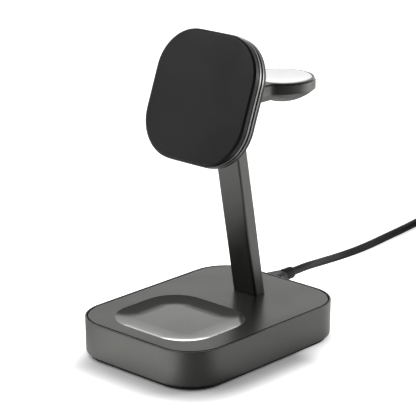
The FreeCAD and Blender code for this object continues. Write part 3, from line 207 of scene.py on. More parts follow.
class Effects:
    """The shared effects, each built once and placed in a material with its own values."""

    GRAIN_NOISE: ClassVar[dict[str, float]] = {"Detail": 3.0, "Roughness": 0.65}
    MOTTLE_NOISE: ClassVar[dict[str, float]] = {"Detail": 4.0, "Distortion": 0.6}
    MOTTLE_RANGE: ClassVar[tuple[float, float]] = (0.32, 0.68)
    RUB_AND_HIGHLIGHT_NOISE: ClassVar[dict[str, float]] = {"Scale": 420.0, "Detail": 3.0}
    RUB_AND_HIGHLIGHT_SAMPLES: ClassVar[int] = 6
    RUB_AND_HIGHLIGHT_BEND: ClassVar[tuple[float, float]] = (0.995, 0.8)
    RUB_AND_HIGHLIGHT_BREAK: ClassVar[tuple[float, float]] = (0.3, 0.7)
    RUB_AND_HIGHLIGHT_LEAST: ClassVar[float] = 0.35
    DUST_NOISE: ClassVar[dict[str, float]] = {"Scale": 1500.0, "Detail": 2.0}
    DUST_UPWARD: ClassVar[tuple[float, float]] = (0.5, 1.0)
    DUST_SPECKS: ClassVar[tuple[float, float]] = (0.62, 0.74)

    def __init__(self) -> None:
        """Start with no groups built."""
        self.groups: dict[Effect, bpy.types.NodeTree] = {}

    def place(self, graph: Graph, effect: Effect, **values: float) -> bpy.types.Node:
        """Put an effect into a material.

        Args:
            graph: the material's tree.
            effect: which effect.
            values: the group's named inputs.

        Returns:
            The group node, with the effect's outputs.
        """
        if effect not in self.groups:
            self.groups[effect] = self._build(effect)
        node = graph.add("ShaderNodeGroup", node_tree=self.groups[effect])
        for name, value in values.items():
            node.inputs[name.capitalize()].default_value = value
        return node

    def _build(self, effect: Effect) -> bpy.types.NodeTree:
        """Build one effect's group.

        Args:
            effect: which effect.

        Returns:
            The finished group.
        """
        tree = bpy.data.node_groups.new(effect.value, "ShaderNodeTree")
        graph = Graph(tree)
        makers = {
            Effect.GRAIN: (("Scale", "Tone"), ("Tone", "Height"), self._grain),
            Effect.MOTTLE: (("Scale", "Spread"), ("Value",), self._mottle),
            Effect.RUB_AND_HIGHLIGHT: (("Radius", "Amount"), ("Mask",), self._rub_and_highlight),
            Effect.DUST: (("Amount",), ("Mask",), self._dust),
        }
        inputs, outputs, maker = makers[effect]
        for name in inputs:
            tree.interface.new_socket(name, in_out="INPUT", socket_type="NodeSocketFloat")
        for name in outputs:
            tree.interface.new_socket(name, in_out="OUTPUT", socket_type="NodeSocketFloat")
        way_in = graph.add("NodeGroupInput")
        way_out = graph.add("NodeGroupOutput")
        for name, socket in maker(graph, way_in.outputs).items():
            tree.links.new(socket, way_out.inputs[name])
        return tree

    @staticmethod
    def _grain(graph: Graph, inputs: bpy.types.bpy_prop_collection) -> dict[str, bpy.types.NodeSocket]:
        """Blasted or moulded grain: a tone about 1, and the relief that goes with it.

        Args:
            graph: the group's tree.
            inputs: Scale, grains to the metre, and Tone, how far the tone swings.

        Returns:
            The outputs Tone and Height.
        """
        noise = {"Vector": graph.place(), "Scale": inputs["Scale"], **Effects.GRAIN_NOISE}
        fine = graph.add("ShaderNodeTexNoise", noise).outputs[0]
        swing = graph.sum("MULTIPLY", graph.sum("SUBTRACT", fine, 0.5), inputs["Tone"])
        return {"Tone": graph.sum("MULTIPLY_ADD", swing, 2.0, 1.0), "Height": fine}

    @staticmethod
    def _mottle(graph: Graph, inputs: bpy.types.bpy_prop_collection) -> dict[str, bpy.types.NodeSocket]:
        """Slow variation such as handling leaves: a number about 0.

        Args:
            graph: the group's tree.
            inputs: Scale, patches to the metre, and Spread, how far the number swings.

        Returns:
            The output Value.
        """
        noise = {"Vector": graph.place(), "Scale": inputs["Scale"], **Effects.MOTTLE_NOISE}
        slow = graph.add("ShaderNodeTexNoise", noise).outputs[0]
        swing = graph.remap(slow, Effects.MOTTLE_RANGE, (-1.0, 1.0))
        return {"Value": graph.sum("MULTIPLY", swing, inputs["Spread"])}

    @staticmethod
    def _rub_and_highlight(graph: Graph, inputs: bpy.types.bpy_prop_collection) -> dict[str, bpy.types.NodeSocket]:
        """A mask that follows edges, broken up as handling breaks it up: edge wear, and a painted highlight
        on the edges where a finish's rub colour is paler than the finish.

        Args:
            graph: the group's tree.
            inputs: Radius of the edges it finds, and Amount of the mask.

        Returns:
            The output Mask.
        """
        bevel = graph.add("ShaderNodeBevel", {"Radius": inputs["Radius"]}, samples=Effects.RUB_AND_HIGHLIGHT_SAMPLES)
        flat = graph.add("ShaderNodeNewGeometry").outputs["Normal"]
        alike = graph.vector("DOT_PRODUCT", bevel.outputs[0], flat).outputs["Value"]
        edge = graph.remap(alike, Effects.RUB_AND_HIGHLIGHT_BEND, (0.0, 1.0))
        noise = {"Vector": graph.place(), **Effects.RUB_AND_HIGHLIGHT_NOISE}
        broken = graph.add("ShaderNodeTexNoise", noise).outputs[0]
        patchy = graph.remap(broken, Effects.RUB_AND_HIGHLIGHT_BREAK, (Effects.RUB_AND_HIGHLIGHT_LEAST, 1.0))
        return {"Mask": graph.sum("MULTIPLY", graph.sum("MULTIPLY", edge, patchy), inputs["Amount"])}

    @staticmethod
    def _dust(graph: Graph, inputs: bpy.types.bpy_prop_collection) -> dict[str, bpy.types.NodeSocket]:
        """Specks of dust on what faces up.

        Args:
            graph: the group's tree.
            inputs: Amount of the mask.

        Returns:
            The output Mask.
        """
        normal = graph.add("ShaderNodeNewGeometry").outputs["Normal"]
        up = graph.add("ShaderNodeSeparateXYZ", {0: normal}).outputs["Z"]
        facing = graph.remap(up, Effects.DUST_UPWARD, (0.0, 1.0))
        noise = {"Vector": graph.place(), **Effects.DUST_NOISE}
        specks = graph.add("ShaderNodeTexNoise", noise).outputs[0]
        few = graph.remap(specks, Effects.DUST_SPECKS, (0.0, 1.0))
        return {"Mask": graph.sum("MULTIPLY", graph.sum("MULTIPLY", facing, few), inputs["Amount"])}


@dataclass(frozen=True)
class Finish:
    """A surface: its colour and gloss, the fine detail that its making and handling leave, and its edge rub,
    which is a painted highlight where the rub colour is paler than the surface.
    """

    name: str
    colour: Colour
    roughness: float
    metallic: float = 0.0
    specular: float = 0.5
    grain_scale: float = 2200.0
    grain_tone: float = 0.05
    grain_depth: float = 0.01 * MM
    mottle_scale: float = 45.0
    mottle: float = 0.03
    # Edge rub: a painted highlight along edges where the rub colour is paler than the colour, wear where it
    # is darker.
    rub_and_highlight: float = 0.0
    rub_and_highlight_radius: float = 0.5 * MM
    rub_and_highlight_colour: Colour = (0.5, 0.5, 0.5)
    dust: float = 0.0
    dust_colour: Colour = (0.55, 0.54, 0.52)
    coat: float = 0.0

    def pattern(self, graph: Graph) -> tuple[Value, Optional[bpy.types.NodeSocket]]:
        """The finish's own colour and relief; a plain finish has one colour and no relief.

        Args:
            graph: the material's tree.

        Returns:
            The colour, and the relief in grain depths or None.
        """
        return self.colour, None

    def gloss(self, graph: Graph) -> Value:
        """The finish's roughness before handling; a plain finish has one all over."""
        return self.roughness

    def material(self, effects: Effects) -> bpy.types.Material:
        """Make the material, or give back the one that was made before.

        Args:
            effects: the shared effects.

        Returns:
            The finished material.
        """
        title = f"{self.name}_finish"
        made = bpy.data.materials.get(title)
        if made:
            return made
        material = bpy.data.materials.new(title)
        material.use_nodes = True
        material.node_tree.nodes.clear()
        graph = Graph(material.node_tree)
        shader = graph.add("ShaderNodeBsdfPrincipled")
        output = graph.add("ShaderNodeOutputMaterial")
        graph.feed(output.inputs["Surface"], shader.outputs[0])
        grain = effects.place(graph, Effect.GRAIN, scale=self.grain_scale, tone=self.grain_tone)
        mottle = effects.place(graph, Effect.MOTTLE, scale=self.mottle_scale, spread=self.mottle)
        colour, relief = self.pattern(graph)
        colour = graph.tint("MULTIPLY", 1.0, colour, grain.outputs["Tone"])
        rough = graph.sum("ADD", mottle.outputs["Value"], self.gloss(graph))
        # Edges take the rub colour: a painted highlight where it is paler, wear where it is darker.
        if self.rub_and_highlight:
            rub_and_highlight = effects.place(graph, Effect.RUB_AND_HIGHLIGHT, radius=self.rub_and_highlight_radius, amount=self.rub_and_highlight)
            colour = graph.tint("MIX", rub_and_highlight.outputs["Mask"], colour, self.rub_and_highlight_colour)
        if self.dust:
            dust = effects.place(graph, Effect.DUST, amount=self.dust)
            colour = graph.tint("MIX", dust.outputs["Mask"], colour, self.dust_colour)
            rough = graph.sum("ADD", rough, dust.outputs["Mask"])
        height = grain.outputs["Height"]
        if relief:
            height = graph.sum("ADD", height, relief)
        bump = graph.add("ShaderNodeBump", {"Height": height, "Distance": self.grain_depth})
        graph.feed(shader.inputs["Base Color"], colour)
        graph.feed(shader.inputs["Roughness"], rough)
        graph.feed(shader.inputs["Normal"], bump.outputs[0])
        shader.inputs["Metallic"].default_value = self.metallic
        shader.inputs["Specular IOR Level"].default_value = self.specular
        shader.inputs["Coat Weight"].default_value = self.coat
        return material


@dataclass(frozen=True)
class TrayCover(Finish):
    """The top cover's satin metal, smoother in its tray, where a brighter copy of its colour is a painted
    highlight.
    """

    face: float = 18.6 * MM
    lip: float = 0.15 * MM
    # How much brighter the painted highlight in the tray makes the colour.
    tray_highlight_tone: float = 1.25
    tray_roughness: float = 0.08

    def tray(self, graph: Graph) -> bpy.types.NodeSocket:
        """A mask of the tray, which lies below the cover's face."""
        height = graph.add("ShaderNodeSeparateXYZ", {0: graph.place()}).outputs["Z"]
        return graph.remap(height, (self.face - self.lip, self.face), (1.0, 0.0))

    def pattern(self, graph: Graph) -> tuple[Value, Optional[bpy.types.NodeSocket]]:
        """The cover's grey, with a painted highlight in the tray.

        Args:
            graph: the material's tree.

        Returns:
            The colour and no relief.
        """
        tray_highlight = scaled(self.colour, self.tray_highlight_tone)
        return graph.tint("MIX", self.tray(graph), self.colour, tray_highlight), None

    def gloss(self, graph: Graph) -> Value:
        """The cover's roughness, lower in the tray."""
        return graph.remap(self.tray(graph), (0.0, 1.0), (self.roughness, self.tray_roughness))


@dataclass(frozen=True)
class RibbedRubber(Finish):
    """Rubber with fine moulded ribs across it."""

    rib_pitch: float = 1.6 * MM
    rib_height: float = 12.0
    # How much paler the painted highlight on the crests is.
    crest_highlight_tone: float = 1.6

    def pattern(self, graph: Graph) -> tuple[Value, Optional[bpy.types.NodeSocket]]:
        """Ribs side by side, with a painted highlight on their crests.

        Args:
            graph: the material's tree.

        Returns:
            The colour and the relief.
        """
        crest = wave(graph, graph.place(), self.rib_pitch, bands_direction="DIAGONAL")
        crest_highlight = scaled(self.colour, self.crest_highlight_tone)
        relief = graph.sum("MULTIPLY", crest, self.rib_height)
        return graph.tint("MIX", crest, self.colour, crest_highlight), relief


@dataclass(frozen=True)
class WoundCopper(Finish):
    """Enamelled wire wound flat: rings about a centre, in a plane that may be tilted back."""

    centre: Point = (0.0, 0.0, 0.0)
    tilt: float = 0.0
    wire_pitch: float = 0.9 * MM
    wire_height: float = 20.0
    # How dark the painted shade in the grooves makes the copper.
    groove_shade_tone: float = 0.3

    def pattern(self, graph: Graph) -> tuple[Value, Optional[bpy.types.NodeSocket]]:
        """Wires side by side, with painted shade in the grooves between them.

        Args:
            graph: the material's tree.

        Returns:
            The colour and the relief.
        """
        moved = graph.vector("SUBTRACT", graph.place(), self.centre).outputs[0]
        turn = {"Vector": moved, "Angle": self.tilt}
        turned = graph.add("ShaderNodeVectorRotate", turn, rotation_type="X_AXIS").outputs[0]
        crest = wave(graph, turned, self.wire_pitch, wave_type="RINGS", rings_direction="Z")
        groove_shade = scaled(self.colour, self.groove_shade_tone)
        relief = graph.sum("MULTIPLY", crest, self.wire_height)
        return graph.tint("MIX", crest, groove_shade, self.colour), relief


@dataclass(frozen=True)
class SolderMask(Finish):
    """A circuit board: solder mask over copper tracks, with tinned pads showing."""

    track_scale: float = 260.0
    track_colour: Colour = (0.04, 0.2, 0.1)
    pad_scale: float = 420.0
    pad_scatter: float = 0.55
    pad_edge: tuple[float, float] = (0.16, 0.2)
    pad_colour: Colour = (0.62, 0.6, 0.56)
    track_height: float = 4.0

    def pattern(self, graph: Graph) -> tuple[Value, Optional[bpy.types.NodeSocket]]:
        """Tracks in straight lines and small round pads.

        Args:
            graph: the material's tree.

        Returns:
            The colour and the relief.
        """
        tracks = graph.add("ShaderNodeTexBrick", {"Vector": graph.place(), "Scale": self.track_scale})
        line = tracks.outputs["Fac"]
        spread = {"Vector": graph.place(), "Scale": self.pad_scale, "Randomness": self.pad_scatter}
        dots = graph.add("ShaderNodeTexVoronoi", spread).outputs["Distance"]
        pad = graph.remap(dots, self.pad_edge, (1.0, 0.0))
        masked = graph.tint("MIX", line, self.colour, self.track_colour)
        colour = graph.tint("MIX", pad, masked, self.pad_colour)
        return colour, graph.sum("MULTIPLY", graph.sum("ADD", line, pad), self.track_height)


@dataclass(frozen=True)
class WovenStrap(Finish):
    """A narrow woven strap."""

    thread: float = 0.5 * MM
    thread_height: float = 30.0
    # How much paler the painted highlight on the crests is.
    crest_highlight_tone: float = 2.2

    def pattern(self, graph: Graph) -> tuple[Value, Optional[bpy.types.NodeSocket]]:
        """Threads over and under, in both directions, with a painted highlight where their crests cross.

        Args:
            graph: the material's tree.

        Returns:
            The colour and the relief.
        """
        ways = ("X", "DIAGONAL")
        crests = [wave(graph, graph.place(), self.thread, bands_direction=way) for way in ways]
        crossed = graph.sum("MULTIPLY", *crests)
        crest_highlight = scaled(self.colour, self.crest_highlight_tone)
        relief = graph.sum("MULTIPLY", crossed, self.thread_height)
        return graph.tint("MIX", crossed, self.colour, crest_highlight), relief


@dataclass(frozen=True)
class SpangledSteel(Finish):
    """Plated sheet steel with the crystal pattern of its zinc."""

    spangle_scale: float = 160.0
    dark_tone: float = 0.75

    def pattern(self, graph: Graph) -> tuple[Value, Optional[bpy.types.NodeSocket]]:
        """Patches of slightly different greys.

        Args:
            graph: the material's tree.

        Returns:
            The colour and no relief.
        """
        spread = {"Vector": graph.place(), "Scale": self.spangle_scale}
        cells = graph.add("ShaderNodeTexVoronoi", spread).outputs["Color"]
        grey = graph.add("ShaderNodeSeparateColor", {0: cells}).outputs[0]
        return graph.tint("MIX", grey, scaled(self.colour, self.dark_tone), self.colour), None


def wave(graph: Graph, place: Value, pitch: float, **settings: str) -> bpy.types.NodeSocket:
    """Crests that repeat at a pitch.

    Args:
        graph: the material's tree.
        place: the point that the crests are measured at.
        pitch: crest to crest, in metres.
        settings: the Wave node's own properties.

    Returns:
        The height of the crests, 0 to 1.
    """
    inputs = {"Vector": place, "Scale": WAVE_PITCH / pitch}
    return graph.add("ShaderNodeTexWave", inputs, **settings).outputs["Fac"]


def winding(name: str, centre: Point, **layout: float) -> WoundCopper:
    """The finish of a coil.

    Args:
        name: the finish's name.
        centre: the coil's middle.
        layout: its tilt and wire pitch, where they differ from the usual ones.

    Returns:
        The finish.
    """
    return WoundCopper(name, COPPER, COPPER_ROUGHNESS, metallic=1.0, centre=centre, **layout)


HEAD_TILT = math.radians(20.6)
COPPER: Colour = (0.62, 0.24, 0.1)
COPPER_ROUGHNESS = 0.34

# The paler rub colours of the grey metals below paint a highlight along their edges.
BLASTED_GREY = Finish(
    "blasted_grey",
    (0.155, 0.155, 0.148),
    0.34,
    metallic=1.0,
    grain_tone=0.2,
    grain_depth=0.003 * MM,
    rub_and_highlight=0.03,
    rub_and_highlight_colour=(0.3, 0.3, 0.29),
    dust=0.05,
)
SATIN_COVER = TrayCover(
    "satin_cover",
    (0.152, 0.152, 0.145),
    0.31,
    metallic=1.0,
    grain_tone=0.09,
    grain_depth=0.0015 * MM,
    rub_and_highlight=0.1,
    rub_and_highlight_colour=(0.3, 0.3, 0.29),
    dust=0.03,
)
SOFT_BLACK = Finish(
    "soft_black",
    (0.006, 0.006, 0.006),
    0.4,
    specular=0.34,
    grain_scale=3200.0,
    grain_tone=0.2,
    grain_depth=0.003 * MM,
    mottle=0.07,
    dust=0.004,
)
FIN_GREY = Finish(
    "fin_grey",
    (0.28, 0.28, 0.275),
    0.32,
    metallic=1.0,
    grain_tone=0.06,
    grain_depth=0.006 * MM,
    rub_and_highlight=0.2,
    rub_and_highlight_colour=(0.45, 0.45, 0.44),
)
MOULDED_BLACK = Finish(
    "moulded_black",
    (0.012, 0.012, 0.0122),
    0.48,
    grain_scale=2600.0,
    grain_tone=0.15,
    grain_depth=0.015 * MM,
    dust=0.06,
)
WATCH_WHITE = Finish(
    "watch_white",
    (0.8, 0.8, 0.795),
    0.34,
    grain_scale=1500.0,
    grain_tone=0.005,
    grain_depth=0.0005 * MM,
    mottle=0.015,
    coat=0.2,
)
FOOT_RUBBER = RibbedRubber("foot_rubber", (0.014, 0.014, 0.0145), 0.75, grain_tone=0.2, mottle=0.06)
JACKET = Finish(
    "cable_jacket",
    (0.007, 0.007, 0.0072),
    0.5,
    specular=0.4,
    grain_scale=1800.0,
    grain_tone=0.15,
    grain_depth=0.012 * MM,
    mottle=0.06,
    dust=0.03,
)
PLATED_STEEL = Finish(
    "plated_steel",
    (0.42, 0.42, 0.43),
    0.34,
    metallic=1.0,
    grain_scale=3000.0,
    mottle=0.08,
)
BALLAST_STEEL = SpangledSteel("ballast_steel", (0.48, 0.48, 0.49), 0.4, metallic=1.0, mottle=0.08)
NICKEL = Finish("nickel", (0.62, 0.61, 0.59), 0.24, metallic=1.0, grain_depth=0.003 * MM, mottle=0.06)
PLAIN_ALUMINIUM = Finish("plain_aluminium", (0.6, 0.6, 0.61), 0.38, metallic=1.0, mottle=0.06, rub_and_highlight=0.1)
BRASS = Finish("turned_brass", (0.68, 0.5, 0.2), 0.3, metallic=1.0, mottle=0.08)
GOLD = Finish("contact_gold", (0.8, 0.56, 0.2), 0.24, metallic=1.0, grain_depth=0.002 * MM, mottle=0.05)
FERRITE = Finish("ferrite", (0.035, 0.034, 0.034), 0.62, grain_scale=1400.0, grain_tone=0.35, mottle=0.06)
BOARD = SolderMask("solder_mask", (0.012, 0.085, 0.042), 0.36, grain_depth=0.006 * MM)
STRAP = WovenStrap("woven_strap", (0.012, 0.012, 0.013), 0.8, grain_tone=0.25)


@dataclass(frozen=True)
class Lamp:
    """A softbox that points at the stand.

    Its place is to the camera's right, towards the camera and up, in metres from the stand.
    """

    name: str
    place: Point
    size: tuple[float, float]
    power: float
    mirrored: bool = False

    def hang(self, front: Vector, aim: Vector) -> bpy.types.Object:
        """Hang the lamp.

        Args:
            front: the level direction from the stand towards the camera.
            aim: the point that the lamp faces.

        Returns:
            The lamp.
        """
        right = Vector((-front.y, front.x, 0.0))
        data = bpy.data.lights.new(self.name, "AREA")
        data.shape = "RECTANGLE"
        data.size, data.size_y = self.size
        data.energy = self.power
        lamp = bpy.data.objects.new(self.name, data)
        across, toward, up = self.place
        lamp.location = aim + right * across + front * toward + Vector((0.0, 0.0, up))
        lamp.rotation_mode = "QUATERNION"
        lamp.rotation_quaternion = (aim - lamp.location).to_track_quat("-Z", "Y")
        lamp.visible_camera = False
        lamp.visible_glossy = self.mirrored
        bpy.context.scene.collection.objects.link(lamp)
        return lamp


@dataclass(frozen=True)
class Patch:
    """A part of the floor that differs from the rest.

    It lies towards turn degrees from the camera's side, counted to the camera's right, and reaches
    round to where the cosine is edge. Its share is its value in the middle, 1 for no difference.
    """

    turn: float
    share: float
    edge: float = 0.3


@dataclass(frozen=True)
class Ring:
    """A value that changes round the stand, patch by patch, such as how bright metal mirrors the floor."""

    base: float
    patches: tuple[Patch, ...]

    def gain(self, graph: Graph, outward: Value, front: Vector) -> Value:
        """The value at a place on the floor.

        Args:
            graph: the floor's material.
            outward: the direction from the stand's middle to the place.
            front: the level direction from the stand towards the camera.

        Returns:
            The value, the base away from every patch.
        """
        gain = self.base
        right = Vector((-front.y, front.x, 0.0))
        for patch in self.patches:
            turn = math.radians(patch.turn)
            middle = tuple(front * math.cos(turn) + right * math.sin(turn))
            facing = graph.vector("DOT_PRODUCT", outward, middle).outputs["Value"]
            share = graph.remap(facing, (patch.edge, 1.0), (1.0, patch.share))
            gain = graph.sum("MULTIPLY", gain, share)
        return gain


@dataclass
class Studio:
    """The camera, the pale floor, the soft lamps and the white surround."""

    azimuth: float = 42.9125
    elevation: float = 17.598
    target: Point = (5.011 * MM, -6.352 * MM, 69.324 * MM)
    distance: float = 882.78 * MM
    lens: float = 167.38
    clip: tuple[float, float] = (0.05, 20.0)
    aim: Point = (0.0, 0.0, 70 * MM)
    floor_radius: float = 1.6
    floor_segments: int = 96
    floor_fade: tuple[float, float] = (0.3, 0.95)
    base_round: float = 19.7 * MM
    floor_white: float = 0.82
    fill: float = 0.3
    # The surround that metal mirrors, by a direction's height and by how far it points to the camera.
    backdrop_rise: tuple[float, float] = (0.34, 0.45)
    backdrop_level: tuple[float, float] = (0.93, 0.2)
    horizon_rise: tuple[float, float] = (0.0, 0.16)
    horizon_level: tuple[float, float] = (4.6, 0.0)
    front_turn: tuple[float, float] = (-0.35, 0.4)
    front_level: tuple[float, float] = (1.0, 0.055)
    # How the floor's glow falls off away from the base.
    glow: float = 1.1
    glow_reach: tuple[float, float] = (50 * MM, 160 * MM)
    glow_share: tuple[float, float] = (1.0, 0.5)
    mirror_reach: tuple[float, float] = (30 * MM, 110 * MM)
    near_floor: Ring = Ring(
        1.0,
        (Patch(-133, 0.4), Patch(-43, 1.6), Patch(0, 0.25, 0.88), Patch(47, 0.9), Patch(137, 1.15)),
    )
    far_floor: Ring = Ring(
        0.5,
        (Patch(-98, 2.0, 0.5), Patch(0, 0.3, 0.5), Patch(98, 2.1, 0.85)),
    )
    shadow_lift: Ring = Ring(1.0, (Patch(-98, 3.0, 0.8), Patch(98, 3.0, 0.8)))
    shadow_width: float = 31 * MM
    shadow_step: float = 7 * MM
    lamps: tuple[Lamp, ...] = (
        Lamp("softbox_back", (-0.1, -0.8, 0.8), (1.4, 0.6), 8.5),
        Lamp("softbox_left", (-0.6, 0.1, 0.6), (0.5, 0.5), 2.2),
        Lamp("softbox_right", (0.85, -0.25, 0.6), (0.5, 0.8), 4.4),
        Lamp("top_light", (-0.11, 0.015, 0.155), (0.1, 0.04), 0.045, mirrored=True),
    )

    def front(self) -> Vector:
        """The level direction from the stand towards the camera."""
        turn = math.radians(self.azimuth)
        return Vector((math.sin(turn), -math.cos(turn), 0.0))

    def build_camera(self) -> bpy.types.Object:
        """Stand the camera where the photograph was taken from.

        Returns:
            The camera.
        """
        rise = math.radians(self.elevation)
        back = self.front() * math.cos(rise) + Vector((0.0, 0.0, math.sin(rise)))
        data = bpy.data.cameras.new("camera")
        data.lens = self.lens
        data.clip_start, data.clip_end = self.clip
        camera = bpy.data.objects.new("camera", data)
        camera.rotation_mode = "QUATERNION"
        camera.location = Vector(self.target) + back * self.distance
        camera.rotation_quaternion = (-back).to_track_quat("-Z", "Y")
        bpy.context.scene.collection.objects.link(camera)
        bpy.context.scene.camera = camera
        return camera

    def build_world(self) -> None:
        """A white surround to look at, soft fill, and a bright low backdrop for metal to mirror."""
        world = bpy.data.worlds.new("studio")
        world.use_nodes = True
        world.node_tree.nodes.clear()
        bpy.context.scene.world = world
        graph = Graph(world.node_tree)
        direction = graph.add("ShaderNodeTexCoord").outputs["Generated"]
        toward = graph.vector("DOT_PRODUCT", direction, tuple(self.front())).outputs["Value"]
        rise = graph.add("ShaderNodeSeparateXYZ", {0: direction}).outputs["Z"]
        backdrop = graph.remap(rise, self.backdrop_rise, self.backdrop_level)
        horizon = graph.remap(rise, self.horizon_rise, self.horizon_level)
        dark_front = graph.remap(toward, self.front_turn, self.front_level)
        mirrored = graph.sum("MULTIPLY", graph.sum("ADD", backdrop, horizon), dark_front)
        path = graph.add("ShaderNodeLightPath").outputs
        lit = graph.tint("MIX", path["Is Glossy Ray"], scaled(WHITE, self.fill), mirrored)
        seen = graph.sum("MAXIMUM", path["Is Camera Ray"], path["Is Transmission Ray"])
        strength = graph.tint("MIX", seen, lit, WHITE)
        background = graph.add("ShaderNodeBackground", {"Color": strength})
        output = graph.add("ShaderNodeOutputWorld")
        graph.feed(output.inputs["Surface"], background.outputs[0])

    def base_gap(self, graph: Graph, position: Value) -> bpy.types.NodeSocket:
        """How far a point on the floor is from the base's rounded outline.

        Args:
            graph: the floor's material.
            position: the point on the floor.

        Returns:
            The distance in metres.
        """
        low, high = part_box("base_housing")
        core = (high - low) / 2 - Vector((self.base_round, self.base_round, 0.0))
        beside = graph.vector("SUBTRACT", graph.vector("ABSOLUTE", position).outputs[0], tuple(core))
        outside = graph.vector("MAXIMUM", beside.outputs[0], (0.0, 0.0, 0.0)).outputs[0]
        length = graph.vector("LENGTH", outside).outputs["Value"]
        return graph.sum("SUBTRACT", length, self.base_round)

    def floor_tone(self, graph: Graph, outward: Value, gap: Value) -> bpy.types.NodeSocket:
        """The floor's white, which metal mirrors brighter near the stand and to its left.

        Args:
            graph: the floor's material.
            outward: the direction from the stand's middle to the point on the floor.
            gap: how far the point is from the base.

        Returns:
            The colour.
        """
        near = self.near_floor.gain(graph, outward, self.front())
        far = self.far_floor.gain(graph, outward, self.front())
        gain = graph.tint("MIX", graph.remap(gap, self.mirror_reach, (0.0, 1.0)), near, far)
        glossy = graph.add("ShaderNodeLightPath").outputs["Is Glossy Ray"]
        white = scaled(WHITE, self.floor_white)
        return graph.tint("MIX", glossy, white, graph.tint("MULTIPLY", 1.0, gain, white))

    def floor_glow(self, graph: Graph, outward: Value, gap: Value) -> bpy.types.NodeSocket:
        """The light that whitens the floor away from the base's shadow, for the camera alone.

        Args:
            graph: the floor's material.
            outward: the direction from the stand's middle to the point on the floor.
            gap: how far the point is from the base.

        Returns:
            The strength of the light.
        """
        lift = graph.sum("SUBTRACT", self.shadow_lift.gain(graph, outward, self.front()), 1.0)
        reach = graph.sum("ADD", gap, graph.sum("MULTIPLY", lift, self.shadow_step))
        rising = graph.remap(reach, (0.0, self.shadow_width), (0.0, self.glow))
        falling = graph.remap(gap, self.glow_reach, self.glow_share)
        seen = graph.add("ShaderNodeLightPath").outputs["Is Camera Ray"]
        return graph.sum("MULTIPLY", seen, graph.sum("MULTIPLY", rising, falling))

    def floor_material(self) -> bpy.types.Material:
        """The floor's surface, clear from below and faded out at its rim.

        Returns:
            The material.
        """
        material = bpy.data.materials.new("pale_floor")
        material.use_nodes = True
        material.node_tree.nodes.clear()
        graph = Graph(material.node_tree)
        geometry = graph.add("ShaderNodeNewGeometry").outputs
        position = geometry["Position"]
        outward = graph.vector("NORMALIZE", position).outputs[0]
        gap = self.base_gap(graph, position)
        matt = graph.add("ShaderNodeBsdfDiffuse", {"Color": self.floor_tone(graph, outward, gap)})
        glow = graph.add("ShaderNodeEmission", {"Strength": self.floor_glow(graph, outward, gap)})
        lit = graph.add("ShaderNodeAddShader", {0: matt.outputs[0], 1: glow.outputs[0]})
        away = graph.vector("LENGTH", position).outputs["Value"]
        rim = tuple(share * self.floor_radius for share in self.floor_fade)
        through = graph.sum("MAXIMUM", graph.remap(away, rim, (0.0, 1.0)), geometry["Backfacing"])
        clear = graph.add("ShaderNodeBsdfTransparent")
        mixed = graph.add("ShaderNodeMixShader", {0: through, 1: lit.outputs[0], 2: clear.outputs[0]})
        output = graph.add("ShaderNodeOutputMaterial")
        graph.feed(output.inputs["Surface"], mixed.outputs[0])
        return material

    def build_floor(self) -> bpy.types.Object:
        """A plain pale floor that keeps the shadow and fades into the surround.

        Returns:
            The floor.
        """
        mesh = bpy.data.meshes.new("floor")
        shape = bmesh.new()
        bmesh.ops.create_circle(
            shape, cap_ends=True, segments=self.floor_segments, radius=self.floor_radius
        )
        shape.to_mesh(mesh)
        shape.free()
        mesh.materials.append(self.floor_material())
        floor = bpy.data.objects.new("floor", mesh)
        bpy.context.scene.collection.objects.link(floor)
        return floor

    def build(self) -> None:
        """Build the whole studio."""
        self.build_camera()
        self.build_world()
        self.build_floor()
        for lamp in self.lamps:
            lamp.hang(self.front(), Vector(self.aim))
        bpy.context.scene.view_settings.view_transform = "Standard"
        LOG.info("studio: camera, floor and %d lamps", len(self.lamps))


@dataclass
class SubAssembly:
    """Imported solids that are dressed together, and the pieces that are added to them."""

    name: str = "sub-assembly"
    body: Body = Body.BASE
    finishes: dict[Finish, tuple[str, ...]] = field(default_factory=dict)

    def build(self, frame: dict, effects: Effects) -> None:
        """Build the pieces that are added to the solids; most sub-assemblies add none.

        Args:
            frame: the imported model.
            effects: the shared effects.
        """

    def dress(self, frame: dict, effects: Effects) -> None:
        """Give every solid its finish.

        Args:
            frame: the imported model.
            effects: the shared effects.
        """
        for finish, names in self.finishes.items():
            material = finish.material(effects)
            for name in names:
                for slot in frame["nodes"][name].material_slots:
                    slot.material = material
                LOG.info("%s: %s in %s", self.name, name, finish.name)

    def piece(
        self, name: str, data: bpy.types.ID, slot: str, nodes: tuple[str, ...] = ()
    ) -> bpy.types.Object:
        """Make a piece that moves with this sub-assembly.

        Args:
            name: the piece's name.
            data: its mesh or curve.
            slot: the record's material slot; not used.
            nodes: the solids that it stands for.

        Returns:
            The piece.
        """
        piece = bpy.data.objects.new(name, data)
        bpy.context.scene.collection.objects.link(piece)
        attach(piece, self.body.value)
        if nodes:
            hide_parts(*nodes)
        LOG.info("%s: added %s", self.name, name)
        return piece


@dataclass
class BaseShell(SubAssembly):
    """The base's housing, covers, foot, screws and ballast."""

    name: str = "base shell"
    finishes: dict[Finish, tuple[str, ...]] = field(
        default_factory=lambda: {
            BLASTED_GREY: ("base_housing",),
            SATIN_COVER: ("top_cover",),
            MOULDED_BLACK: ("bottom_plate",),
            FOOT_RUBBER: ("foot_pad",),
            PLATED_STEEL: ("housing_screws",),
            BALLAST_STEEL: ("ballast_plate",),
        }
    )


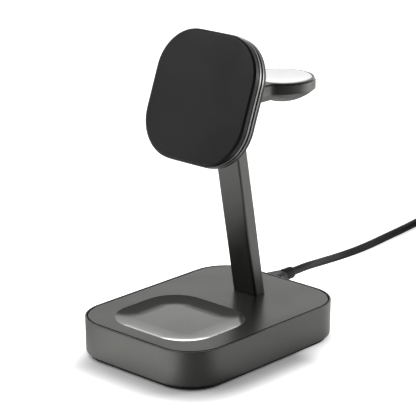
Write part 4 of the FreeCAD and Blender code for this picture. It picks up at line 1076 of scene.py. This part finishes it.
@dataclass
class PowerBoard(SubAssembly):
    """The board in the base with its parts and two sockets, and the earbud coil under the tray."""

    name: str = "power board"
    tray_coil_centre: Point = (0.0, -20 * MM, 14.9 * MM)
    contacts: int = 6
    contact_pitch: float = 0.95 * MM
    contact_width: float = 0.45 * MM
    contact_thick: float = 0.05 * MM
    contact_ramp: float = 0.5 * MM
    tongue_edge: float = 0.3 * MM

    def __post_init__(self) -> None:
        """Say which finish each solid takes."""
        self.finishes = {
            BOARD: ("main_board",),
            BRASS: ("board_spacers",),
            PLATED_STEEL: ("board_screws",),
            MOULDED_BLACK: ("controller_chip", "input_tongue", "output_tongue"),
            FERRITE: ("power_inductors", "tray_ferrite"),
            PLAIN_ALUMINIUM: ("capacitors",),
            NICKEL: ("input_socket", "output_socket"),
            winding("tray_winding", self.tray_coil_centre): ("tray_coil",),
        }

    def build(self, frame: dict, effects: Effects) -> None:
        """Lay the gold contacts on both faces of each socket's tongue.

        Args:
            frame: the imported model.
            effects: the shared effects.
        """
        for socket in ("input", "output"):
            low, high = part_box(f"{socket}_tongue")
            shape = bmesh.new()
            for index in range(self.contacts):
                x = (low.x + high.x) / 2 + (index - (self.contacts - 1) / 2) * self.contact_pitch
                for level, up in ((high.z, 1.0), (low.z, -1.0)):
                    self._contact(shape, x, (low.y, high.y - self.tongue_edge), level, up)
            mesh = bpy.data.meshes.new(f"{socket}_contacts")
            bmesh.ops.recalc_face_normals(shape, faces=shape.faces)
            shape.to_mesh(mesh)
            shape.free()
            mesh.materials.append(GOLD.material(effects))
            self.piece(f"{socket}_contacts", mesh, "contact_metal")

    def _contact(
        self, shape: bmesh.types.BMesh, x: float, reach: tuple[float, float], z: float, up: float
    ) -> None:
        """Add one contact, a flat strip that ramps down at the socket's mouth.

        Args:
            shape: the mesh being made.
            x: the strip's middle.
            reach: where the strip starts and ends along the tongue.
            z: the tongue's face.
            up: 1 on the tongue's upper face and -1 on its lower face.
        """
        start, end = reach
        rise = up * self.contact_thick
        outline = ((start, z), (end, z), (end - self.contact_ramp, z + rise), (start, z + rise))
        half = self.contact_width / 2
        edges = (x - half, x + half)
        sides = [[shape.verts.new((edge, y, level)) for y, level in outline] for edge in edges]
        for side in sides:
            shape.faces.new(side)
        for index, corner in enumerate(sides[0]):
            after = (index + 1) % len(outline)
            shape.faces.new((corner, sides[0][after], sides[1][after], sides[1][index]))


@dataclass
class LeaningStem(SubAssembly):
    """The stem, its foot in the base and the wires inside it."""

    name: str = "stem"
    finishes: dict[Finish, tuple[str, ...]] = field(
        default_factory=lambda: {
            BLASTED_GREY: ("stem",),
            PLAIN_ALUMINIUM: ("stem_foot",),
            PLATED_STEEL: ("stem_foot_screws", "stem_set_screws"),
            JACKET: ("stem_harness",),
        }
    )


@dataclass
class WatchArm(SubAssembly):
    """The arm behind the head with the watch charger in its round end."""

    name: str = "watch arm"
    coil_centre: Point = (0.0, 49.8 * MM, 117.3 * MM)
    wire_pitch: float = 0.6 * MM

    def __post_init__(self) -> None:
        """Say which finish each solid takes."""
        wire = winding("watch_winding", self.coil_centre, wire_pitch=self.wire_pitch)
        self.finishes = {
            BLASTED_GREY: ("watch_arm",),
            WATCH_WHITE: ("watch_cap",),
            FERRITE: ("watch_ferrite",),
            NICKEL: ("watch_magnet",),
            wire: ("watch_coil",),
        }


@dataclass
class PhoneHead(SubAssembly):
    """The tilting head with the phone charger in it, and its hinge."""

    name: str = "phone head"
    body: Body = Body.HEAD
    coil_centre: Point = (0.0, -7.2 * MM, 121.0 * MM)
    tilt: float = HEAD_TILT

    def __post_init__(self) -> None:
        """Say which finish each solid takes."""
        upright = self.tilt - math.pi / 2
        wire = winding("phone_winding", self.coil_centre, tilt=upright)
        self.finishes = {
            SOFT_BLACK: ("pad_cover",),
            FIN_GREY: ("head_frame",),
            MOULDED_BLACK: ("head_back",),
            BLASTED_GREY: ("hinge_lug",),
            PLATED_STEEL: ("lug_screws", "hinge_pin"),
            BRASS: ("hinge_washers",),
            NICKEL: ("magnet_ring",),
            FERRITE: ("phone_ferrite",),
            BOARD: ("head_board",),
            wire: ("phone_coil",),
        }


@dataclass
class PowerLead(SubAssembly):
    """The lead: its visible run, the tied coil of its spare length and the short end to the far plug."""

    name: str = "lead"
    diameter: float = 4.2 * MM
    length: float = 1.11
    coil_middle: tuple[float, float] = (-14.0 * MM, 239.2 * MM)
    coil_radius: float = 20.5 * MM
    pitch: float = 4.3 * MM
    points_a_turn: int = 16
    step_share: float = 0.75
    spline_order: int = 3
    spline_steps: int = 6
    section_steps: int = 5
    tie_thick: float = 0.6 * MM
    tie_corner: float = 1.9 * MM
    tie_bevel: float = 0.1 * MM
    corner_steps: int = 6
    # The cable's points in millimetres: from the plug's collar to the coil, then on to the far collar.
    run: tuple[Point, ...] = (
        (-20.5, 83.35, 9.0),
        (-21.3, 95.0, 8.75),
        (-22.9, 105.1, 7.5),
        (-25.0, 117.0, 5.8),
        (-27.0, 130.1, 4.2),
        (-28.7, 144.9, 3.0),
        (-30.6, 161.0, 2.35),
        (-32.8, 178.0, 2.1),
        (-34.2, 193.4, 2.1),
        (-36.2, 209.3, 2.1),
        (-38.0, 224.0, 2.2),
    )
    tail: tuple[Point, ...] = (
        (10.7, 229.6, 6.1),
        (11.0, 219.4, 4.3),
        (10.8, 210.0, 3.1),
    )
    # The coil's turns in the order they are wound: steps out from the middle, layers up from the table.
    turns: tuple[tuple[int, int], ...] = (
        (1, 0),
        (0, 0),
        (-1, 0),
        (-1, 1),
        (-1, 2),
        (0, 2),
        (0, 1),
        (1, 1),
    )
    fittings: tuple[str, ...] = (
        "cable_plug",
        "cable_plug_shell",
        "cable_collar",
        "far_plug",
        "far_plug_shell",
        "far_collar",
    )
    finishes: dict[Finish, tuple[str, ...]] = field(
        default_factory=lambda: {
            MOULDED_BLACK: ("cable_plug", "far_plug"),
            NICKEL: ("cable_plug_shell", "far_plug_shell"),
            JACKET: ("cable_collar", "far_collar"),
        }
    )

    def turn_points(self) -> list[Point]:
        """The coil's turns, wound clockwise from the side where the run comes in.

        Returns:
            The spline's points along the turns, in metres.
        """
        count = self.points_a_turn
        inside = (3.0 + math.cos(math.tau / count)) / 4.0
        total = int((len(self.turns) - 0.5) * count)
        points = []
        for step in range(total + 1):
            turn, part = divmod(step / count, 1.0)
            here = self.turns[int(turn)]
            after = self.turns[min(int(turn) + 1, len(self.turns) - 1)]
            ease = max(0.0, part - self.step_share) / (1.0 - self.step_share)
            out = here[0] + (after[0] - here[0]) * ease
            layer = here[1] + (after[1] - here[1]) * ease
            radius = (self.coil_radius + out * self.pitch) / inside
            angle = math.pi - math.tau * step / count
            x = self.coil_middle[0] + radius * math.cos(angle)
            y = self.coil_middle[1] + radius * math.sin(angle)
            points.append((x, y, self.tie_thick + self.diameter / 2 + layer * self.pitch))
        return points

    def build_cable(self, effects: Effects) -> bpy.types.Object:
        """Lay the cable as one smooth spline from the plug's collar to the far collar.

        Args:
            effects: the shared effects.

        Returns:
            The cable.
        """
        points = [scaled(point, MM) for point in self.run]
        points += self.turn_points()
        points += [scaled(point, MM) for point in self.tail]
        data = bpy.data.curves.new("lead_cable", "CURVE")
        data.dimensions = "3D"
        spline = data.splines.new("NURBS")
        spline.points.add(len(points) - 1)
        for knot, point in zip(spline.points, points):
            knot.co = (*point, 1.0)
            knot.radius = self.diameter / 2
        spline.order_u = self.spline_order
        spline.use_endpoint_u = True
        spline.resolution_u = self.spline_steps
        data.bevel_depth = 1.0
        data.bevel_resolution = self.section_steps
        data.use_fill_caps = True
        data.materials.append(JACKET.material(effects))
        return self.piece("lead_cable", data, "cable_rubber", ("cable_run", "cable_coil", "cable_tail"))

    def build_tie(self, effects: Effects) -> bpy.types.Object:
        """Wrap a flat strap round the coil's section.

        Args:
            effects: the shared effects.

        Returns:
            The strap.
        """
        low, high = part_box("coil_tie")
        half = (high - low) / 2
        edge = half.x - self.tie_bevel
        inner = self.tie_thick - self.tie_bevel
        section = (
            (-half.x, self.tie_bevel),
            (-edge, 0.0),
            (edge, 0.0),
            (half.x, self.tie_bevel),
            (half.x, inner),
            (-half.x, inner),
        )
        shape = bmesh.new()
        middle = (low + high) / 2
        loops = [self._strap_loop(shape, middle, half, across, drop) for across, drop in section]
        for first, second in zip(loops, loops[1:] + loops[:1]):
            for index, corner in enumerate(first):
                after = (index + 1) % len(first)
                shape.faces.new((corner, first[after], second[after], second[index]))
        bmesh.ops.recalc_face_normals(shape, faces=shape.faces)
        for face in shape.faces:
            face.smooth = True
        mesh = bpy.data.meshes.new("lead_tie")
        shape.to_mesh(mesh)
        shape.free()
        mesh.materials.append(STRAP.material(effects))
        return self.piece("lead_tie", mesh, "tie_fabric", ("coil_tie",))

    def _strap_loop(
        self, shape: bmesh.types.BMesh, middle: Vector, half: Vector, across: float, drop: float
    ) -> list[bmesh.types.BMVert]:
        """One closed loop of the strap's surface, a rectangle with round corners.

        Args:
            shape: the mesh being made.
            middle: the strap's middle.
            half: half of its outside size.
            across: how far along the strap's width.
            drop: how far in from its outside.

        Returns:
            The loop's points, in order.
        """
        radius = max(self.tie_corner - drop, self.tie_bevel)
        made = []
        for quarter, (right, up) in enumerate(((1, 1), (-1, 1), (-1, -1), (1, -1))):
            for step in range(self.corner_steps + 1):
                angle = math.pi / 2 * (quarter + step / self.corner_steps)
                y = right * (half.y - self.tie_corner) + radius * math.cos(angle)
                z = up * (half.z - self.tie_corner) + radius * math.sin(angle)
                made.append(shape.verts.new(middle + Vector((across, y, z))))
        return made

    def build(self, frame: dict, effects: Effects) -> None:
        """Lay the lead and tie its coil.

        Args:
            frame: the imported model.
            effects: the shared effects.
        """
        cable = self.build_cable(effects)
        tie = self.build_tie(effects)


def main() -> None:
    """Build the studio, the lead and every finish."""
    logging.basicConfig(level=logging.INFO, format="%(name)s: %(message)s")
    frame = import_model()
    effects = Effects()
    Studio().build()
    for part in (PowerLead(), BaseShell(), PowerBoard(), LeaningStem(), WatchArm(), PhoneHead()):
        part.build(frame, effects)
        part.dress(frame, effects)


if __name__ == "__main__":
    main()
